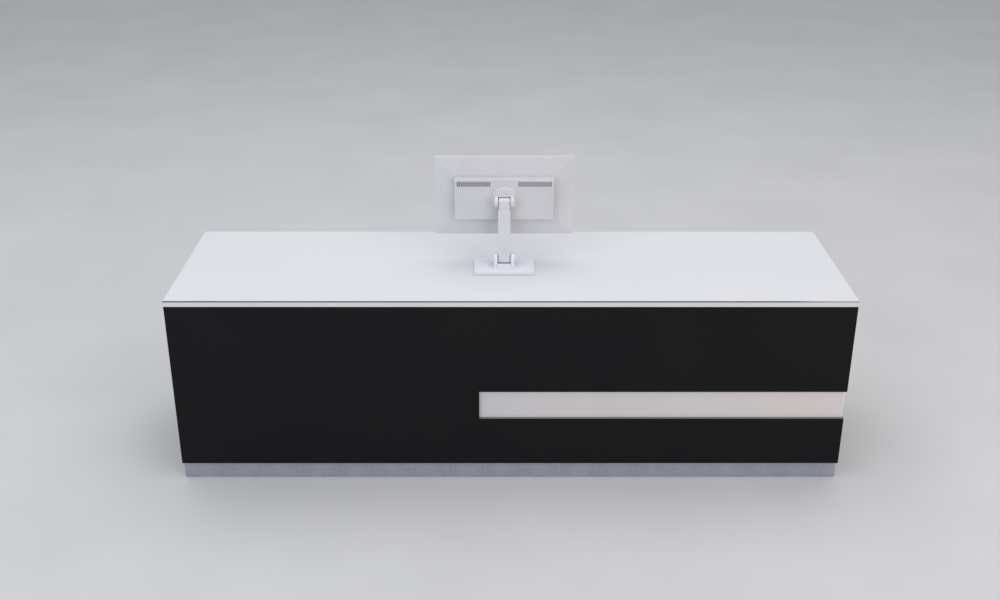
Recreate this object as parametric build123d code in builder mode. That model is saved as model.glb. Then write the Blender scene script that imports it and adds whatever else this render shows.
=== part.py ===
"""A long checkout counter with a till display: customer side at -Y, staff side at +Y.

The origin is on the floor at the middle of the footprint, +Z is up and +X is to the customer's
right. Black boards clad the front and the ends, a pale strip lies back in a notch of the front
and goes round the right end, and the staff side has three drawers, a kneehole and a cupboard.
"""

import os

from build123d import *

# ---------------------------------------------------------------- driving dimensions (mm, degrees)
COUNTER_W = 2500.0
COUNTER_D = 700.0
COUNTER_H = 750.0
GLASS_T = 5.0
GLASS_ARRIS = 0.8
BOARD_T = 18.0
PLINTH_H = 73.0
PLINTH_T = 16.0
PLINTH_SETBACK = 20.0
PLINTH_INSET = 2.0
CLADDING_T = 16.0
SIDE_CLADDING_T = 8.0
STRIP_T = 4.0
STRIP_BEND = 2.0
STRIP_LEFT = -117.0
STRIP_LOW = 267.0
STRIP_HIGH = 380.5
STAFF_FACE = 318.0
KNEEHOLE_HALF = 535.0
FRONT_GAP = 2.5
FRONT_CHAMFER = 0.6
SETBACK = 2.0
SHELF_Z = 400.0
SHELF_Y = (-300.0, 270.0)
SHELF_GAP = 1.0
SHELF_PIN_R = 2.5
SHELF_PIN_OUT = 8.0
SHELF_PIN_IN = 8.0
SHELF_PIN_YS = (-250.0, 220.0)

# Drawers and cupboard doors
RUNNER_ROOM = 12.7
TRAY_T = 2.0
TRAY_DEPTH = 500.0
DRAWERS = {
    "top": {"front": (523.5, 724.5), "tray": (540.0, 640.0), "handle_z": 600.0},
    "middle": {"front": (346.5, 520.5), "tray": (360.0, 490.0), "handle_z": 433.5},
    "bottom": {"front": (93.5, 343.5), "tray": (110.0, 320.0), "handle_z": 260.0},
}
RAIL_T = 12.0
RAIL_H = 60.0
HANDLE_SPACING = 160.0
HANDLE_R = 5.0
HANDLE_POST_R = 4.0
HANDLE_REACH = 23.0
HANDLE_OVERHANG = 12.0
HANDLE_EASE = 1.0
DOOR_HANDLE_Z = 500.0
DOOR_HANDLE_IN = 42.0
KNUCKLE_R = 5.0
HINGE_PIN_R = 1.97
HINGE_LENGTH = 60.0
LEAF_T = 2.0
LEAF_REACH = 17.0
KNUCKLE_GAP = 0.3
HINGE_HEIGHTS = (170.0, 640.0)
LOCK_Z = 651.0
BARREL_R = 9.0
ROSETTE_R = 12.0
ROSETTE_T = 2.0
PLUG_R = 6.0
KEYWAY_W = 1.4
KEYWAY_H = 8.0
CAM_Y = (280.0, 283.0)
CAM_LENGTH = 26.0

# Till display
DISPLAY_X = -23.5
STAND_Y = -36.0
BASE_W = 230.0
BASE_D = 160.0
BASE_MIDDLE_Y = -31.0
BASE_LOW = 751.0
BASE_HIGH = 758.5
BASE_EDGE = 3.0
BASE_BEVEL = 16.0
BASE_CORNER = 6.0
BASE_FLOOR = 2.0
PAD_R = 8.0
PAD_INSET = 20.0
DISC_R = 55.0
DISC_LOW = 758.8
DISC_HIGH = 761.0
DISC_EASE = 0.8
HUB_R = 12.0
HUB_LOW = 753.5
LOWER_AXIS_Z = 791.0
UPPER_AXIS_Z = 1016.0
NECK_W = 46.6
NECK_END_W = 40.8
NECK_T = 30.0
NECK_FOOT_CORNER = 6.0
NECK_EASE = 1.5
NECK_WIDE_Z = (812.0, 986.0)
NECK_BOSS_R = 9.0
LOWER_EAR_X = (25.5, 39.0)
LOWER_EAR_R = 20.0
UPPER_EAR_X = (22.9, 37.5)
UPPER_EAR_R = 19.5
HOOD_EDGE = 8.0
NECK_SLOT_R = 17.0
NECK_SLOT_BACK = 18.0
STAND_PIN_R = 5.0
PIN_RECESS = 2.0
PIN_GRIP = 0.03
RUNNING_GAP = 0.05
SCREEN_TILT = 4.0
PANEL_W = 523.0
PANEL_H = 314.0
PANEL_MIDDLE = -6.0
SCREEN_W = 509.6
SCREEN_H = 286.7
SCREEN_MIDDLE = -1.0
SHELL_WALL = 2.5
MOUNT_DISC_R = 49.0
MOUNT_RING_R = 29.0
MOUNT_EASE = 1.5
DISC_BACK = 22.0
HOUSING_BACK = 28.0
PLATEAU = 58.0
RIM_BACK = 70.0
RIM_FRONT = 80.0
BEZEL_FRONT = 86.0
HOUSING_HALF_W = 187.0
HOUSING_TOP = 77.0
HOUSING_BOTTOM = -86.5
SLOTS_PER_GROUP = 17
SLOT_PITCH = 7.5
SLOT_W = 3.6
SLOT_H = 20.0
SLOT_MIDDLE = 58.5
SLOT_GROUP_X = 115.0
KEY_X = -245.0
KEY_PITCH = 21.9
KEY_W = 12.0
KEY_H = 9.0
KEY_NAMES = ("power_key", "input_key", "up_key", "down_key", "menu_key")
KEY_MIDDLE = -6.5
KEY_BACK = 66.0
KEY_FRONT = 72.0
KEY_CORNER = 1.6
KEY_EASE = 0.5
KEY_FLANGE = 1.5
KEY_FLANGE_T = 1.2
KEY_CLEARANCE = 0.4

# Worked out from the dimensions above
HALF_W = COUNTER_W / 2
FRONT = -COUNTER_D / 2
BACK = COUNTER_D / 2
TOP_BOARD_LOW = COUNTER_H - GLASS_T - BOARD_T
PANEL_FACE = FRONT + CLADDING_T
PANEL_REAR = PANEL_FACE + BOARD_T
SHEATH = HALF_W - SIDE_CLADDING_T
END_INNER = SHEATH - BOARD_T
CAB_INNER = KNEEHOLE_HALF + BOARD_T
CAB_MIDDLE = (END_INNER + CAB_INNER) / 2
BASE_TOP = PLINTH_H + BOARD_T
INSET_REAR = STAFF_FACE - BOARD_T
RAIL_Y = INSET_REAR - SETBACK - RAIL_T
DOOR_AXIS_Y = STAFF_FACE + KNUCKLE_R + 0.5

os.makedirs("parts", exist_ok=True)


def keep(part, label):
    """Labels a finished piece and writes it under its own name."""
    part.label = label
    export_step(part, "parts/" + label + ".step")


def slab(x_range, y_range, z_range):
    """A rectangular solid between two corners, inside the current part."""
    with BuildSketch(Plane.XY.offset(z_range[0])) as outline:
        with Locations(((x_range[0] + x_range[1]) / 2, (y_range[0] + y_range[1]) / 2)):
            Rectangle(x_range[1] - x_range[0], y_range[1] - y_range[0])
    extrude(outline.sketch, amount=z_range[1] - z_range[0])


def rod(axis_point, radius, z_range, mode=Mode.ADD):
    """A round upright rod, or a round hole, inside the current part."""
    with BuildSketch(Plane.XY.offset(z_range[0])) as circle:
        with Locations(axis_point):
            Circle(radius)
    extrude(circle.sketch, amount=z_range[1] - z_range[0], mode=mode)


def board(label, *boxes):
    """A plain board, or a set of identical ones, each box given by its three ranges."""
    with BuildPart() as plank:
        for box in boxes:
            slab(*box)
    keep(plank.part, label)


def both_ends(x_near, x_far):
    """The same stretch of width at the left and at the right of the middle."""
    return ((-x_far, -x_near), (x_near, x_far))


# ---------------------------------------------------------------- worktop
with BuildPart() as worktop_glass:
    slab((-HALF_W, HALF_W), (FRONT, BACK), (COUNTER_H - GLASS_T, COUNTER_H))
    fillet(worktop_glass.faces().sort_by(Axis.Z)[-1].edges(), radius=GLASS_ARRIS)
keep(worktop_glass.part, "worktop_glass")

board("worktop_board", ((-HALF_W, HALF_W), (FRONT, BACK), (TOP_BOARD_LOW, COUNTER_H - GLASS_T)))

# ---------------------------------------------------------------- front, ends and their cladding
with BuildPart() as front_cladding:
    # One board whose notch for the strip is open at the right end.
    with BuildSketch(Plane.XZ.offset(-FRONT)):
        with Locations((0, (PLINTH_H + TOP_BOARD_LOW) / 2)):
            Rectangle(COUNTER_W, TOP_BOARD_LOW - PLINTH_H)
        with Locations(((STRIP_LEFT + HALF_W) / 2, (STRIP_LOW + STRIP_HIGH) / 2)):
            Rectangle(HALF_W - STRIP_LEFT, STRIP_HIGH - STRIP_LOW, mode=Mode.SUBTRACT)
    extrude(amount=-CLADDING_T)
keep(front_cladding.part, "front_cladding")

with BuildPart() as light_strip:
    # One bent strip: along the front, round the corner and back along the right end.
    slab((STRIP_LEFT, SHEATH + STRIP_T), (PANEL_FACE - STRIP_T, PANEL_FACE), (STRIP_LOW, STRIP_HIGH))
    slab((SHEATH, SHEATH + STRIP_T), (PANEL_FACE - STRIP_T, STAFF_FACE), (STRIP_LOW, STRIP_HIGH))
    corner = light_strip.edges().filter_by(Axis.Z).group_by(Axis.X)[-1].sort_by(Axis.Y)[0]
    fillet(corner, radius=STRIP_BEND)
keep(light_strip.part, "light_strip")

BODY_Z = (PLINTH_H, TOP_BOARD_LOW)
board("front_panel", ((-SHEATH, SHEATH), (PANEL_FACE, PANEL_REAR), BODY_Z))
board("left_cladding", ((-HALF_W, -SHEATH), (PANEL_FACE, STAFF_FACE), BODY_Z))
board("right_cladding_upper", ((SHEATH, HALF_W), (PANEL_FACE, STAFF_FACE), (STRIP_HIGH, TOP_BOARD_LOW)))
board("right_cladding_lower", ((SHEATH, HALF_W), (PANEL_FACE, STAFF_FACE), (PLINTH_H, STRIP_LOW)))
board("left_end_panel", ((-SHEATH, -END_INNER), (PANEL_REAR, STAFF_FACE), BODY_Z))
board("left_partition", ((-CAB_INNER, -KNEEHOLE_HALF), (PANEL_REAR, STAFF_FACE), BODY_Z))

# The two boards of the cupboard are drilled for the shelf pins.
SHELF_PIN_Z = SHELF_Z - SHELF_PIN_R


def drilled_board(label, x_range, mouth_x, into):
    """A cupboard side with two blind pin holes; into is the direction of drilling along X."""
    with BuildPart() as side:
        slab(x_range, (PANEL_REAR, STAFF_FACE), BODY_Z)
        with BuildSketch(Plane.YZ.offset(mouth_x)):
            with Locations(*((y, SHELF_PIN_Z) for y in SHELF_PIN_YS)):
                Circle(SHELF_PIN_R + RUNNING_GAP)
        extrude(amount=(SHELF_PIN_IN + 1.0) * into, mode=Mode.SUBTRACT)
    keep(side.part, label)


drilled_board("right_end_panel", (END_INNER, SHEATH), END_INNER, 1)
drilled_board("right_partition", (KNEEHOLE_HALF, CAB_INNER), CAB_INNER, -1)

# ---------------------------------------------------------------- plinth and feet
PLINTH_FACE = FRONT + PLINTH_SETBACK
PLINTH_OUTER = HALF_W - PLINTH_INSET
PLINTH_BACK = INSET_REAR - SETBACK
PLINTH_Z = (0.0, PLINTH_H)
board("plinth_front", ((-PLINTH_OUTER, PLINTH_OUTER), (PLINTH_FACE, PLINTH_FACE + PLINTH_T), PLINTH_Z))
PLINTH_INNER = KNEEHOLE_HALF + PLINTH_T
returns = both_ends(PLINTH_OUTER - PLINTH_T, PLINTH_OUTER) + both_ends(KNEEHOLE_HALF, PLINTH_INNER)
backs = both_ends(PLINTH_INNER, PLINTH_OUTER - PLINTH_T)
board("plinth_returns", *((x, (PLINTH_FACE + PLINTH_T, PLINTH_BACK), PLINTH_Z) for x in returns))
board("plinth_backs", *((x, (PLINTH_BACK - PLINTH_T, PLINTH_BACK), PLINTH_Z) for x in backs))

FOOT_R = 20.0
FOOT_DISC_T = 8.0
FOOT_NUT_R = 9.0
FOOT_NUT_H = 7.0
FOOT_STEM_R = 5.0
FOOT_STEM_TOP = PLINTH_H + 12.0
FOOT_PLACES = [(side * x, y) for side in (-1, 1) for x in (600.0, 1180.0) for y in (-270.0, 240.0)]

with BuildPart() as levelling_feet:
    with BuildSketch(Plane.XY):
        with Locations(*FOOT_PLACES):
            Circle(FOOT_R)
    extrude(amount=FOOT_DISC_T)
    with BuildSketch(Plane.XY.offset(FOOT_DISC_T)):
        with Locations(*FOOT_PLACES):
            Circle(FOOT_STEM_R)
    extrude(amount=FOOT_STEM_TOP - FOOT_DISC_T)
    with BuildSketch(Plane.XY.offset(FOOT_DISC_T)):
        with Locations(*FOOT_PLACES):
            RegularPolygon(radius=FOOT_NUT_R, side_count=6)
    extrude(amount=FOOT_NUT_H)
keep(levelling_feet.part, "levelling_feet")

with BuildPart() as cabinet_bases:
    for x_range in both_ends(CAB_INNER, END_INNER):
        slab(x_range, (PANEL_REAR, STAFF_FACE), (PLINTH_H, BASE_TOP))
    with BuildSketch(Plane.XY.offset(PLINTH_H)):
        with Locations(*FOOT_PLACES):
            Circle(FOOT_STEM_R + RUNNING_GAP)
    extrude(amount=FOOT_STEM_TOP - PLINTH_H + 1.0, mode=Mode.SUBTRACT)
keep(cabinet_bases.part, "cabinet_bases")

# ---------------------------------------------------------------- rails, shelf, cable tray, brackets
board(
    "worktop_rails",
    *((x, (RAIL_Y, RAIL_Y + RAIL_T), (TOP_BOARD_LOW - RAIL_H, TOP_BOARD_LOW))
      for x in both_ends(CAB_INNER, END_INNER)),
)
SHELF_X = (CAB_INNER + SHELF_GAP, END_INNER - SHELF_GAP)
board("cupboard_shelf", (SHELF_X, SHELF_Y, (SHELF_Z, SHELF_Z + BOARD_T)))

with BuildPart() as shelf_pins:
    for start in (CAB_INNER - SHELF_PIN_IN, END_INNER - SHELF_PIN_OUT):
        with BuildSketch(Plane.YZ.offset(start)):
            with Locations(*((y, SHELF_PIN_Z) for y in SHELF_PIN_YS)):
                Circle(SHELF_PIN_R)
        extrude(amount=SHELF_PIN_IN + SHELF_PIN_OUT)
keep(shelf_pins.part, "shelf_pins")

TRAY_SHEET = 2.0
CABLE_TRAY_HALF = 500.0
CABLE_TRAY_LOW = 600.0
CABLE_TRAY_FRONT = PANEL_REAR + 100.0
CABLE_TRAY_BACK_H = 90.0
CABLE_TRAY_FRONT_H = 50.0
with BuildPart() as cable_tray:
    # Folded sheet steel, screwed to the front panel by its taller back wall.
    tray_x = (-CABLE_TRAY_HALF, CABLE_TRAY_HALF)
    back_wall = (PANEL_REAR, PANEL_REAR + TRAY_SHEET)
    front_wall = (CABLE_TRAY_FRONT - TRAY_SHEET, CABLE_TRAY_FRONT)
    slab(tray_x, (PANEL_REAR, CABLE_TRAY_FRONT), (CABLE_TRAY_LOW, CABLE_TRAY_LOW + TRAY_SHEET))
    slab(tray_x, back_wall, (CABLE_TRAY_LOW, CABLE_TRAY_LOW + CABLE_TRAY_BACK_H))
    slab(tray_x, front_wall, (CABLE_TRAY_LOW, CABLE_TRAY_LOW + CABLE_TRAY_FRONT_H))
keep(cable_tray.part, "cable_tray")

BRACKET = 30.0
BRACKET_T = 3.0
BRACKET_W = 24.0
BRACKET_YS = (-200.0, 120.0)
with BuildPart() as corner_brackets:
    # Steel angles that hold the worktop to the partitions, the end panels and the front panel.
    for y_middle in BRACKET_YS:
        for face, away in ((-KNEEHOLE_HALF, 1), (KNEEHOLE_HALF, -1), (-END_INNER, 1), (END_INNER, -1)):
            with BuildSketch(Plane.XZ.offset(-(y_middle - BRACKET_W / 2))):
                with BuildLine():
                    Polyline(
                        (face, TOP_BOARD_LOW),
                        (face + away * BRACKET, TOP_BOARD_LOW),
                        (face + away * BRACKET, TOP_BOARD_LOW - BRACKET_T),
                        (face + away * BRACKET_T, TOP_BOARD_LOW - BRACKET_T),
                        (face + away * BRACKET_T, TOP_BOARD_LOW - BRACKET),
                        (face, TOP_BOARD_LOW - BRACKET),
                        close=True,
                    )
                make_face()
            extrude(amount=-BRACKET_W)
keep(corner_brackets.part, "corner_brackets")

# ---------------------------------------------------------------- drawers
RUNNER_HALF = 22.5
RUNNER_SHEET = 1.5
RUNNER_REACH = 9.5
SLIDER_HALF = 14.0
SLIDER_START = 2.0
RUNNER_UP = 40.0
CAB_LEFT = -END_INNER
CAB_RIGHT = -CAB_INNER
TRAY_Y = (INSET_REAR - TRAY_DEPTH, INSET_REAR)
RUNNER_Y = (TRAY_Y[0], INSET_REAR - SETBACK)


def runner_height(drawer):
    """The height of the runners' centre line, a little above the tray's bottom."""
    return drawer["tray"][0] + RUNNER_UP


with BuildPart() as cabinet_runners:
    # A C channel on each side of each drawer, open towards the drawer.
    for drawer in DRAWERS.values():
        z = runner_height(drawer)
        for wall, away in ((CAB_LEFT, 1), (CAB_RIGHT, -1)):
            web = sorted((wall, wall + away * RUNNER_SHEET))
            flange = sorted((wall, wall + away * RUNNER_REACH))
            slab(web, RUNNER_Y, (z - RUNNER_HALF, z + RUNNER_HALF))
            slab(flange, RUNNER_Y, (z - RUNNER_HALF, z - RUNNER_HALF + RUNNER_SHEET))
            slab(flange, RUNNER_Y, (z + RUNNER_HALF - RUNNER_SHEET, z + RUNNER_HALF))
keep(cabinet_runners.part, "cabinet_runners")


def bar_handle(label, x, z, upright):
    """A round bar on two posts, standing off a front or a door."""
    half = HANDLE_SPACING / 2
    step = (0, half) if upright else (half, 0)
    bar_y = STAFF_FACE + HANDLE_REACH
    over = half + HANDLE_OVERHANG
    with BuildPart() as handle:
        with BuildSketch(Plane.XZ.offset(-STAFF_FACE)):
            with Locations((x - step[0], z - step[1]), (x + step[0], z + step[1])):
                Circle(HANDLE_POST_R)
        extrude(amount=-HANDLE_REACH)
        if upright:
            with BuildSketch(Plane.XY.offset(z - over)):
                with Locations((x, bar_y)):
                    Circle(HANDLE_R)
        else:
            with BuildSketch(Plane.YZ.offset(x - over)):
                with Locations((bar_y, z)):
                    Circle(HANDLE_R)
        extrude(amount=2 * over)
        fillet(handle.faces().filter_by(Plane.XY if upright else Plane.YZ).edges(), radius=HANDLE_EASE)
    keep(handle.part, label)


for name, drawer in DRAWERS.items():
    tray_left = CAB_LEFT + RUNNER_ROOM
    tray_right = CAB_RIGHT - RUNNER_ROOM
    tray_low, tray_high = drawer["tray"]
    with BuildPart() as drawer_front:
        slab((CAB_LEFT + FRONT_GAP, CAB_RIGHT - FRONT_GAP), (INSET_REAR, STAFF_FACE), drawer["front"])
        if name == "top":
            with BuildSketch(Plane.XZ.offset(-INSET_REAR)):
                with Locations((-CAB_MIDDLE, LOCK_Z)):
                    Circle(BARREL_R)
            extrude(amount=-BOARD_T, mode=Mode.SUBTRACT)
        chamfer(drawer_front.faces().sort_by(Axis.Y)[-1].outer_wire().edges(), length=FRONT_CHAMFER)
    keep(drawer_front.part, name + "_drawer_front")

    with BuildPart() as drawer_tray:
        # Folded from one steel sheet: a bottom, two sides, a back and a wall against the front.
        slab((tray_left, tray_right), TRAY_Y, (tray_low, tray_high))
        with BuildSketch(Plane.XY.offset(tray_low + TRAY_T)):
            with Locations(((tray_left + tray_right) / 2, (TRAY_Y[0] + TRAY_Y[1]) / 2)):
                Rectangle(tray_right - tray_left - 2 * TRAY_T, TRAY_DEPTH - 2 * TRAY_T)
        extrude(amount=tray_high - tray_low, mode=Mode.SUBTRACT)
    keep(drawer_tray.part, name + "_drawer_tray")

    with BuildPart() as drawer_runners:
        z = runner_height(drawer)
        for wall, away in ((CAB_LEFT, 1), (CAB_RIGHT, -1)):
            across = sorted((wall + away * SLIDER_START, wall + away * RUNNER_ROOM))
            slab(across, RUNNER_Y, (z - SLIDER_HALF, z + SLIDER_HALF))
    keep(drawer_runners.part, name + "_drawer_runners")

    bar_handle(name + "_drawer_handle", -CAB_MIDDLE, drawer["handle_z"], False)

# The lock of the top drawer: a barrel through the front and a plug whose cam turns up behind the rail.
BARREL_BORE_R = PLUG_R + RUNNING_GAP
BARREL_BACK = CAM_Y[1] + 2.0
with BuildPart() as lock_barrel:
    with BuildSketch(Plane.XZ.offset(-BARREL_BACK)):
        with Locations((-CAB_MIDDLE, LOCK_Z)):
            Circle(BARREL_R)
    extrude(amount=-(STAFF_FACE - BARREL_BACK))
    with BuildSketch(Plane.XZ.offset(-STAFF_FACE)):
        with Locations((-CAB_MIDDLE, LOCK_Z)):
            Circle(ROSETTE_R)
    extrude(amount=-ROSETTE_T)
    with BuildSketch(Plane.XZ.offset(-CAM_Y[1])):
        with Locations((-CAB_MIDDLE, LOCK_Z)):
            Circle(BARREL_BORE_R)
    extrude(amount=-(STAFF_FACE + ROSETTE_T - CAM_Y[1]), mode=Mode.SUBTRACT)
keep(lock_barrel.part, "lock_barrel")

with BuildPart() as lock_plug:
    with BuildSketch(Plane.XZ.offset(-CAM_Y[0])):
        with Locations((-CAB_MIDDLE, LOCK_Z)):
            Circle(PLUG_R)
        with Locations((-CAB_MIDDLE + (CAM_LENGTH - PLUG_R) / 2, LOCK_Z)):
            SlotOverall(CAM_LENGTH + PLUG_R, 2 * PLUG_R)
    extrude(amount=-(CAM_Y[1] - CAM_Y[0]))
    with BuildSketch(Plane.XZ.offset(-CAM_Y[1])):
        with Locations((-CAB_MIDDLE, LOCK_Z)):
            Circle(PLUG_R)
    extrude(amount=-(STAFF_FACE + ROSETTE_T - CAM_Y[1]))
    with BuildSketch(Plane.XZ.offset(-(STAFF_FACE + ROSETTE_T))):
        with Locations((-CAB_MIDDLE, LOCK_Z)):
            Rectangle(KEYWAY_W, KEYWAY_H)
    extrude(amount=KEYWAY_H, mode=Mode.SUBTRACT)
keep(lock_plug.part, "lock_plug")

# ---------------------------------------------------------------- cupboard doors and their hinges
DOOR_Z = (BASE_TOP + FRONT_GAP, TOP_BOARD_LOW - FRONT_GAP)
MEETING = FRONT_GAP / 2
DOORS = {
    "left": {"x": (CAB_INNER + FRONT_GAP, CAB_MIDDLE - MEETING), "axis": CAB_INNER + MEETING, "away": 1},
    "right": {"x": (CAB_MIDDLE + MEETING, END_INNER - FRONT_GAP), "axis": END_INNER - MEETING, "away": -1},
}
KNUCKLE_Z = (-HINGE_LENGTH / 2, -HINGE_LENGTH / 6, HINGE_LENGTH / 6, HINGE_LENGTH / 2)


def hinge_leaf(axis_x, away, middle_z, knuckles, bore_r):
    """A flat leaf on a board's edge or face, with the knuckles of the given thirds."""
    root = axis_x + away * (KNUCKLE_R + KNUCKLE_GAP)
    plate = sorted((root, axis_x + away * LEAF_REACH))
    tongue = sorted((axis_x, root))
    leaf_y = (STAFF_FACE, STAFF_FACE + LEAF_T)
    slab(plate, leaf_y, (middle_z + KNUCKLE_Z[0], middle_z + KNUCKLE_Z[3]))
    for third in knuckles:
        low = middle_z + KNUCKLE_Z[third] + (KNUCKLE_GAP if third else 0.0)
        high = middle_z + KNUCKLE_Z[third + 1] - (KNUCKLE_GAP if third < 2 else 0.0)
        slab(tongue, leaf_y, (low, high))
        rod((axis_x, DOOR_AXIS_Y), KNUCKLE_R, (low, high))
        rod((axis_x, DOOR_AXIS_Y), bore_r, (low, high), Mode.SUBTRACT)


with BuildPart() as door_hinge_leaves:
    for door in DOORS.values():
        for height in HINGE_HEIGHTS:
            hinge_leaf(door["axis"], -door["away"], height, (0, 2), HINGE_PIN_R + PIN_GRIP)

with BuildPart() as door_hinge_frames:
    add(door_hinge_leaves.part)
    for door in DOORS.values():
        for height in HINGE_HEIGHTS:
            pin_z = (height - HINGE_LENGTH / 2, height + HINGE_LENGTH / 2)
            rod((door["axis"], DOOR_AXIS_Y), HINGE_PIN_R, pin_z)
keep(door_hinge_frames.part, "door_hinge_frames")

for name, door in DOORS.items():
    with BuildPart() as door_panel:
        slab(door["x"], (INSET_REAR, STAFF_FACE), DOOR_Z)
        chamfer(door_panel.faces().sort_by(Axis.Y)[-1].edges(), length=FRONT_CHAMFER)
    keep(door_panel.part, name + "_door")

    with BuildPart() as door_leaves:
        for height in HINGE_HEIGHTS:
            hinge_leaf(door["axis"], door["away"], height, (1,), HINGE_PIN_R + PIN_GRIP + RUNNING_GAP)
    keep(door_leaves.part, name + "_door_leaves")

    handle_x = CAB_MIDDLE - door["away"] * DOOR_HANDLE_IN
    bar_handle(name + "_door_handle", handle_x, DOOR_HANDLE_Z, True)

# ---------------------------------------------------------------- display stand
with BuildPart() as display_base:
    # A flat plate whose rim is bevelled all round, down to a thin upright edge.
    with BuildSketch(Plane.XY.offset(BASE_LOW)):
        with Locations((DISPLAY_X, BASE_MIDDLE_Y)):
            RectangleRounded(BASE_W, BASE_D, BASE_CORNER)
    extrude(amount=BASE_EDGE)
    with BuildSketch(Plane.XY.offset(BASE_LOW + BASE_EDGE)):
        with Locations((DISPLAY_X, BASE_MIDDLE_Y)):
            RectangleRounded(BASE_W, BASE_D, BASE_CORNER)
    with BuildSketch(Plane.XY.offset(BASE_HIGH)):
        with Locations((DISPLAY_X, BASE_MIDDLE_Y)):
            RectangleRounded(BASE_W - 2 * BASE_BEVEL, BASE_D - 2 * BASE_BEVEL, BASE_CORNER)
    loft()
    with BuildSketch(Plane.XY.offset(BASE_LOW + BASE_FLOOR)):
        with Locations((DISPLAY_X, STAND_Y)):
            Circle(HUB_R + RUNNING_GAP)
    extrude(amount=BASE_HIGH - BASE_LOW, mode=Mode.SUBTRACT)
keep(display_base.part, "display_base")

with BuildPart() as base_pads:
    with BuildSketch(Plane.XY.offset(COUNTER_H)):
        with Locations((DISPLAY_X, BASE_MIDDLE_Y)):
            with GridLocations(BASE_W - 2 * PAD_INSET, BASE_D - 2 * PAD_INSET, 2, 2):
                Circle(PAD_R)
    extrude(amount=BASE_LOW - COUNTER_H)
keep(base_pads.part, "base_pads")

LOWER_FLOOR = LOWER_AXIS_Z - LOWER_EAR_R
with BuildPart() as swivel_yoke:
    with BuildSketch(Plane.XY.offset(HUB_LOW)):
        with Locations((DISPLAY_X, STAND_Y)):
            Circle(HUB_R)
    extrude(amount=DISC_LOW - HUB_LOW)
    with BuildSketch(Plane.XY.offset(DISC_LOW)):
        with Locations((DISPLAY_X, STAND_Y)):
            Circle(DISC_R)
    extrude(amount=DISC_HIGH - DISC_LOW)
    fillet(swivel_yoke.faces().sort_by(Axis.Z)[-1].edges(), radius=DISC_EASE)
    with BuildSketch(Plane.XY.offset(DISC_HIGH)):
        with Locations((DISPLAY_X, STAND_Y)):
            Rectangle(2 * LOWER_EAR_X[1], 2 * LOWER_EAR_R)
    extrude(amount=LOWER_FLOOR - DISC_HIGH)
    for ear_start in (-LOWER_EAR_X[1], LOWER_EAR_X[0]):
        with BuildSketch(Plane.YZ.offset(DISPLAY_X + ear_start)):
            with Locations((STAND_Y, LOWER_AXIS_Z)):
                Circle(LOWER_EAR_R)
            with Locations((STAND_Y, (LOWER_FLOOR + LOWER_AXIS_Z) / 2)):
                Rectangle(2 * LOWER_EAR_R, LOWER_AXIS_Z - LOWER_FLOOR)
        extrude(amount=LOWER_EAR_X[1] - LOWER_EAR_X[0])
    with BuildSketch(Plane.YZ.offset(DISPLAY_X - LOWER_EAR_X[1])):
        with Locations((STAND_Y, LOWER_AXIS_Z)):
            Circle(STAND_PIN_R + RUNNING_GAP)
    extrude(amount=2 * LOWER_EAR_X[1], mode=Mode.SUBTRACT)
keep(swivel_yoke.part, "swivel_yoke")

with BuildPart() as display_neck:
    # Narrower at both ends, where it goes in between the ears, with a boss beside each ear.
    with BuildSketch(Plane.YZ.offset(DISPLAY_X - NECK_END_W / 2)):
        with Locations((STAND_Y, (LOWER_AXIS_Z + UPPER_AXIS_Z) / 2)):
            Rectangle(NECK_T, UPPER_AXIS_Z - LOWER_AXIS_Z)
        with Locations((STAND_Y, UPPER_AXIS_Z)):
            Circle(NECK_T / 2)
        with Locations((STAND_Y, LOWER_AXIS_Z)):
            RectangleRounded(NECK_T, NECK_T, NECK_FOOT_CORNER)
    extrude(amount=NECK_END_W)
    fillet(display_neck.faces().filter_by(Plane.YZ).edges(), radius=NECK_EASE)
    neck_x = (DISPLAY_X - NECK_W / 2, DISPLAY_X + NECK_W / 2)
    slab(neck_x, (STAND_Y - NECK_T / 2, STAND_Y + NECK_T / 2), NECK_WIDE_Z)
    wide_sides = display_neck.faces().filter_by(Plane.YZ).group_by(Axis.X)
    fillet(wide_sides[0].edges() + wide_sides[-1].edges(), radius=NECK_EASE)
    for height, ears in ((LOWER_AXIS_Z, LOWER_EAR_X), (UPPER_AXIS_Z, UPPER_EAR_X)):
        boss_half = ears[0] - RUNNING_GAP
        with BuildSketch(Plane.YZ.offset(DISPLAY_X - boss_half)):
            with Locations((STAND_Y, height)):
                Circle(NECK_BOSS_R)
        extrude(amount=2 * boss_half)
    with BuildSketch(Plane.YZ.offset(DISPLAY_X - LOWER_EAR_X[0])):
        with Locations((STAND_Y, LOWER_AXIS_Z), (STAND_Y, UPPER_AXIS_Z)):
            Circle(STAND_PIN_R + PIN_GRIP)
    extrude(amount=2 * LOWER_EAR_X[0], mode=Mode.SUBTRACT)
keep(display_neck.part, "display_neck")

with BuildPart() as hinge_pins:
    for height, ears in ((LOWER_AXIS_Z, LOWER_EAR_X), (UPPER_AXIS_Z, UPPER_EAR_X)):
        pin_half = ears[1] - PIN_RECESS
        with BuildSketch(Plane.YZ.offset(DISPLAY_X - pin_half)):
            with Locations((STAND_Y, height)):
                Circle(STAND_PIN_R)
        extrude(amount=2 * pin_half)
keep(hinge_pins.part, "hinge_pins")

# ---------------------------------------------------------------- display head
# The head leans back by SCREEN_TILT. Depths are measured from the upper hinge axis towards the
# screen; heights are measured from the same axis, up along the panel.
HEAD_AXIS = Plane(origin=(DISPLAY_X, STAND_Y, UPPER_AXIS_Z), x_dir=(1, 0, 0), z_dir=(0, -1, 0))
HEAD = HEAD_AXIS.rotated((SCREEN_TILT, 0, 0))


def at_depth(depth):
    """The head's sketch plane at a depth; extruding by a negative amount goes towards the screen."""
    return HEAD.offset(-depth)


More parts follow.
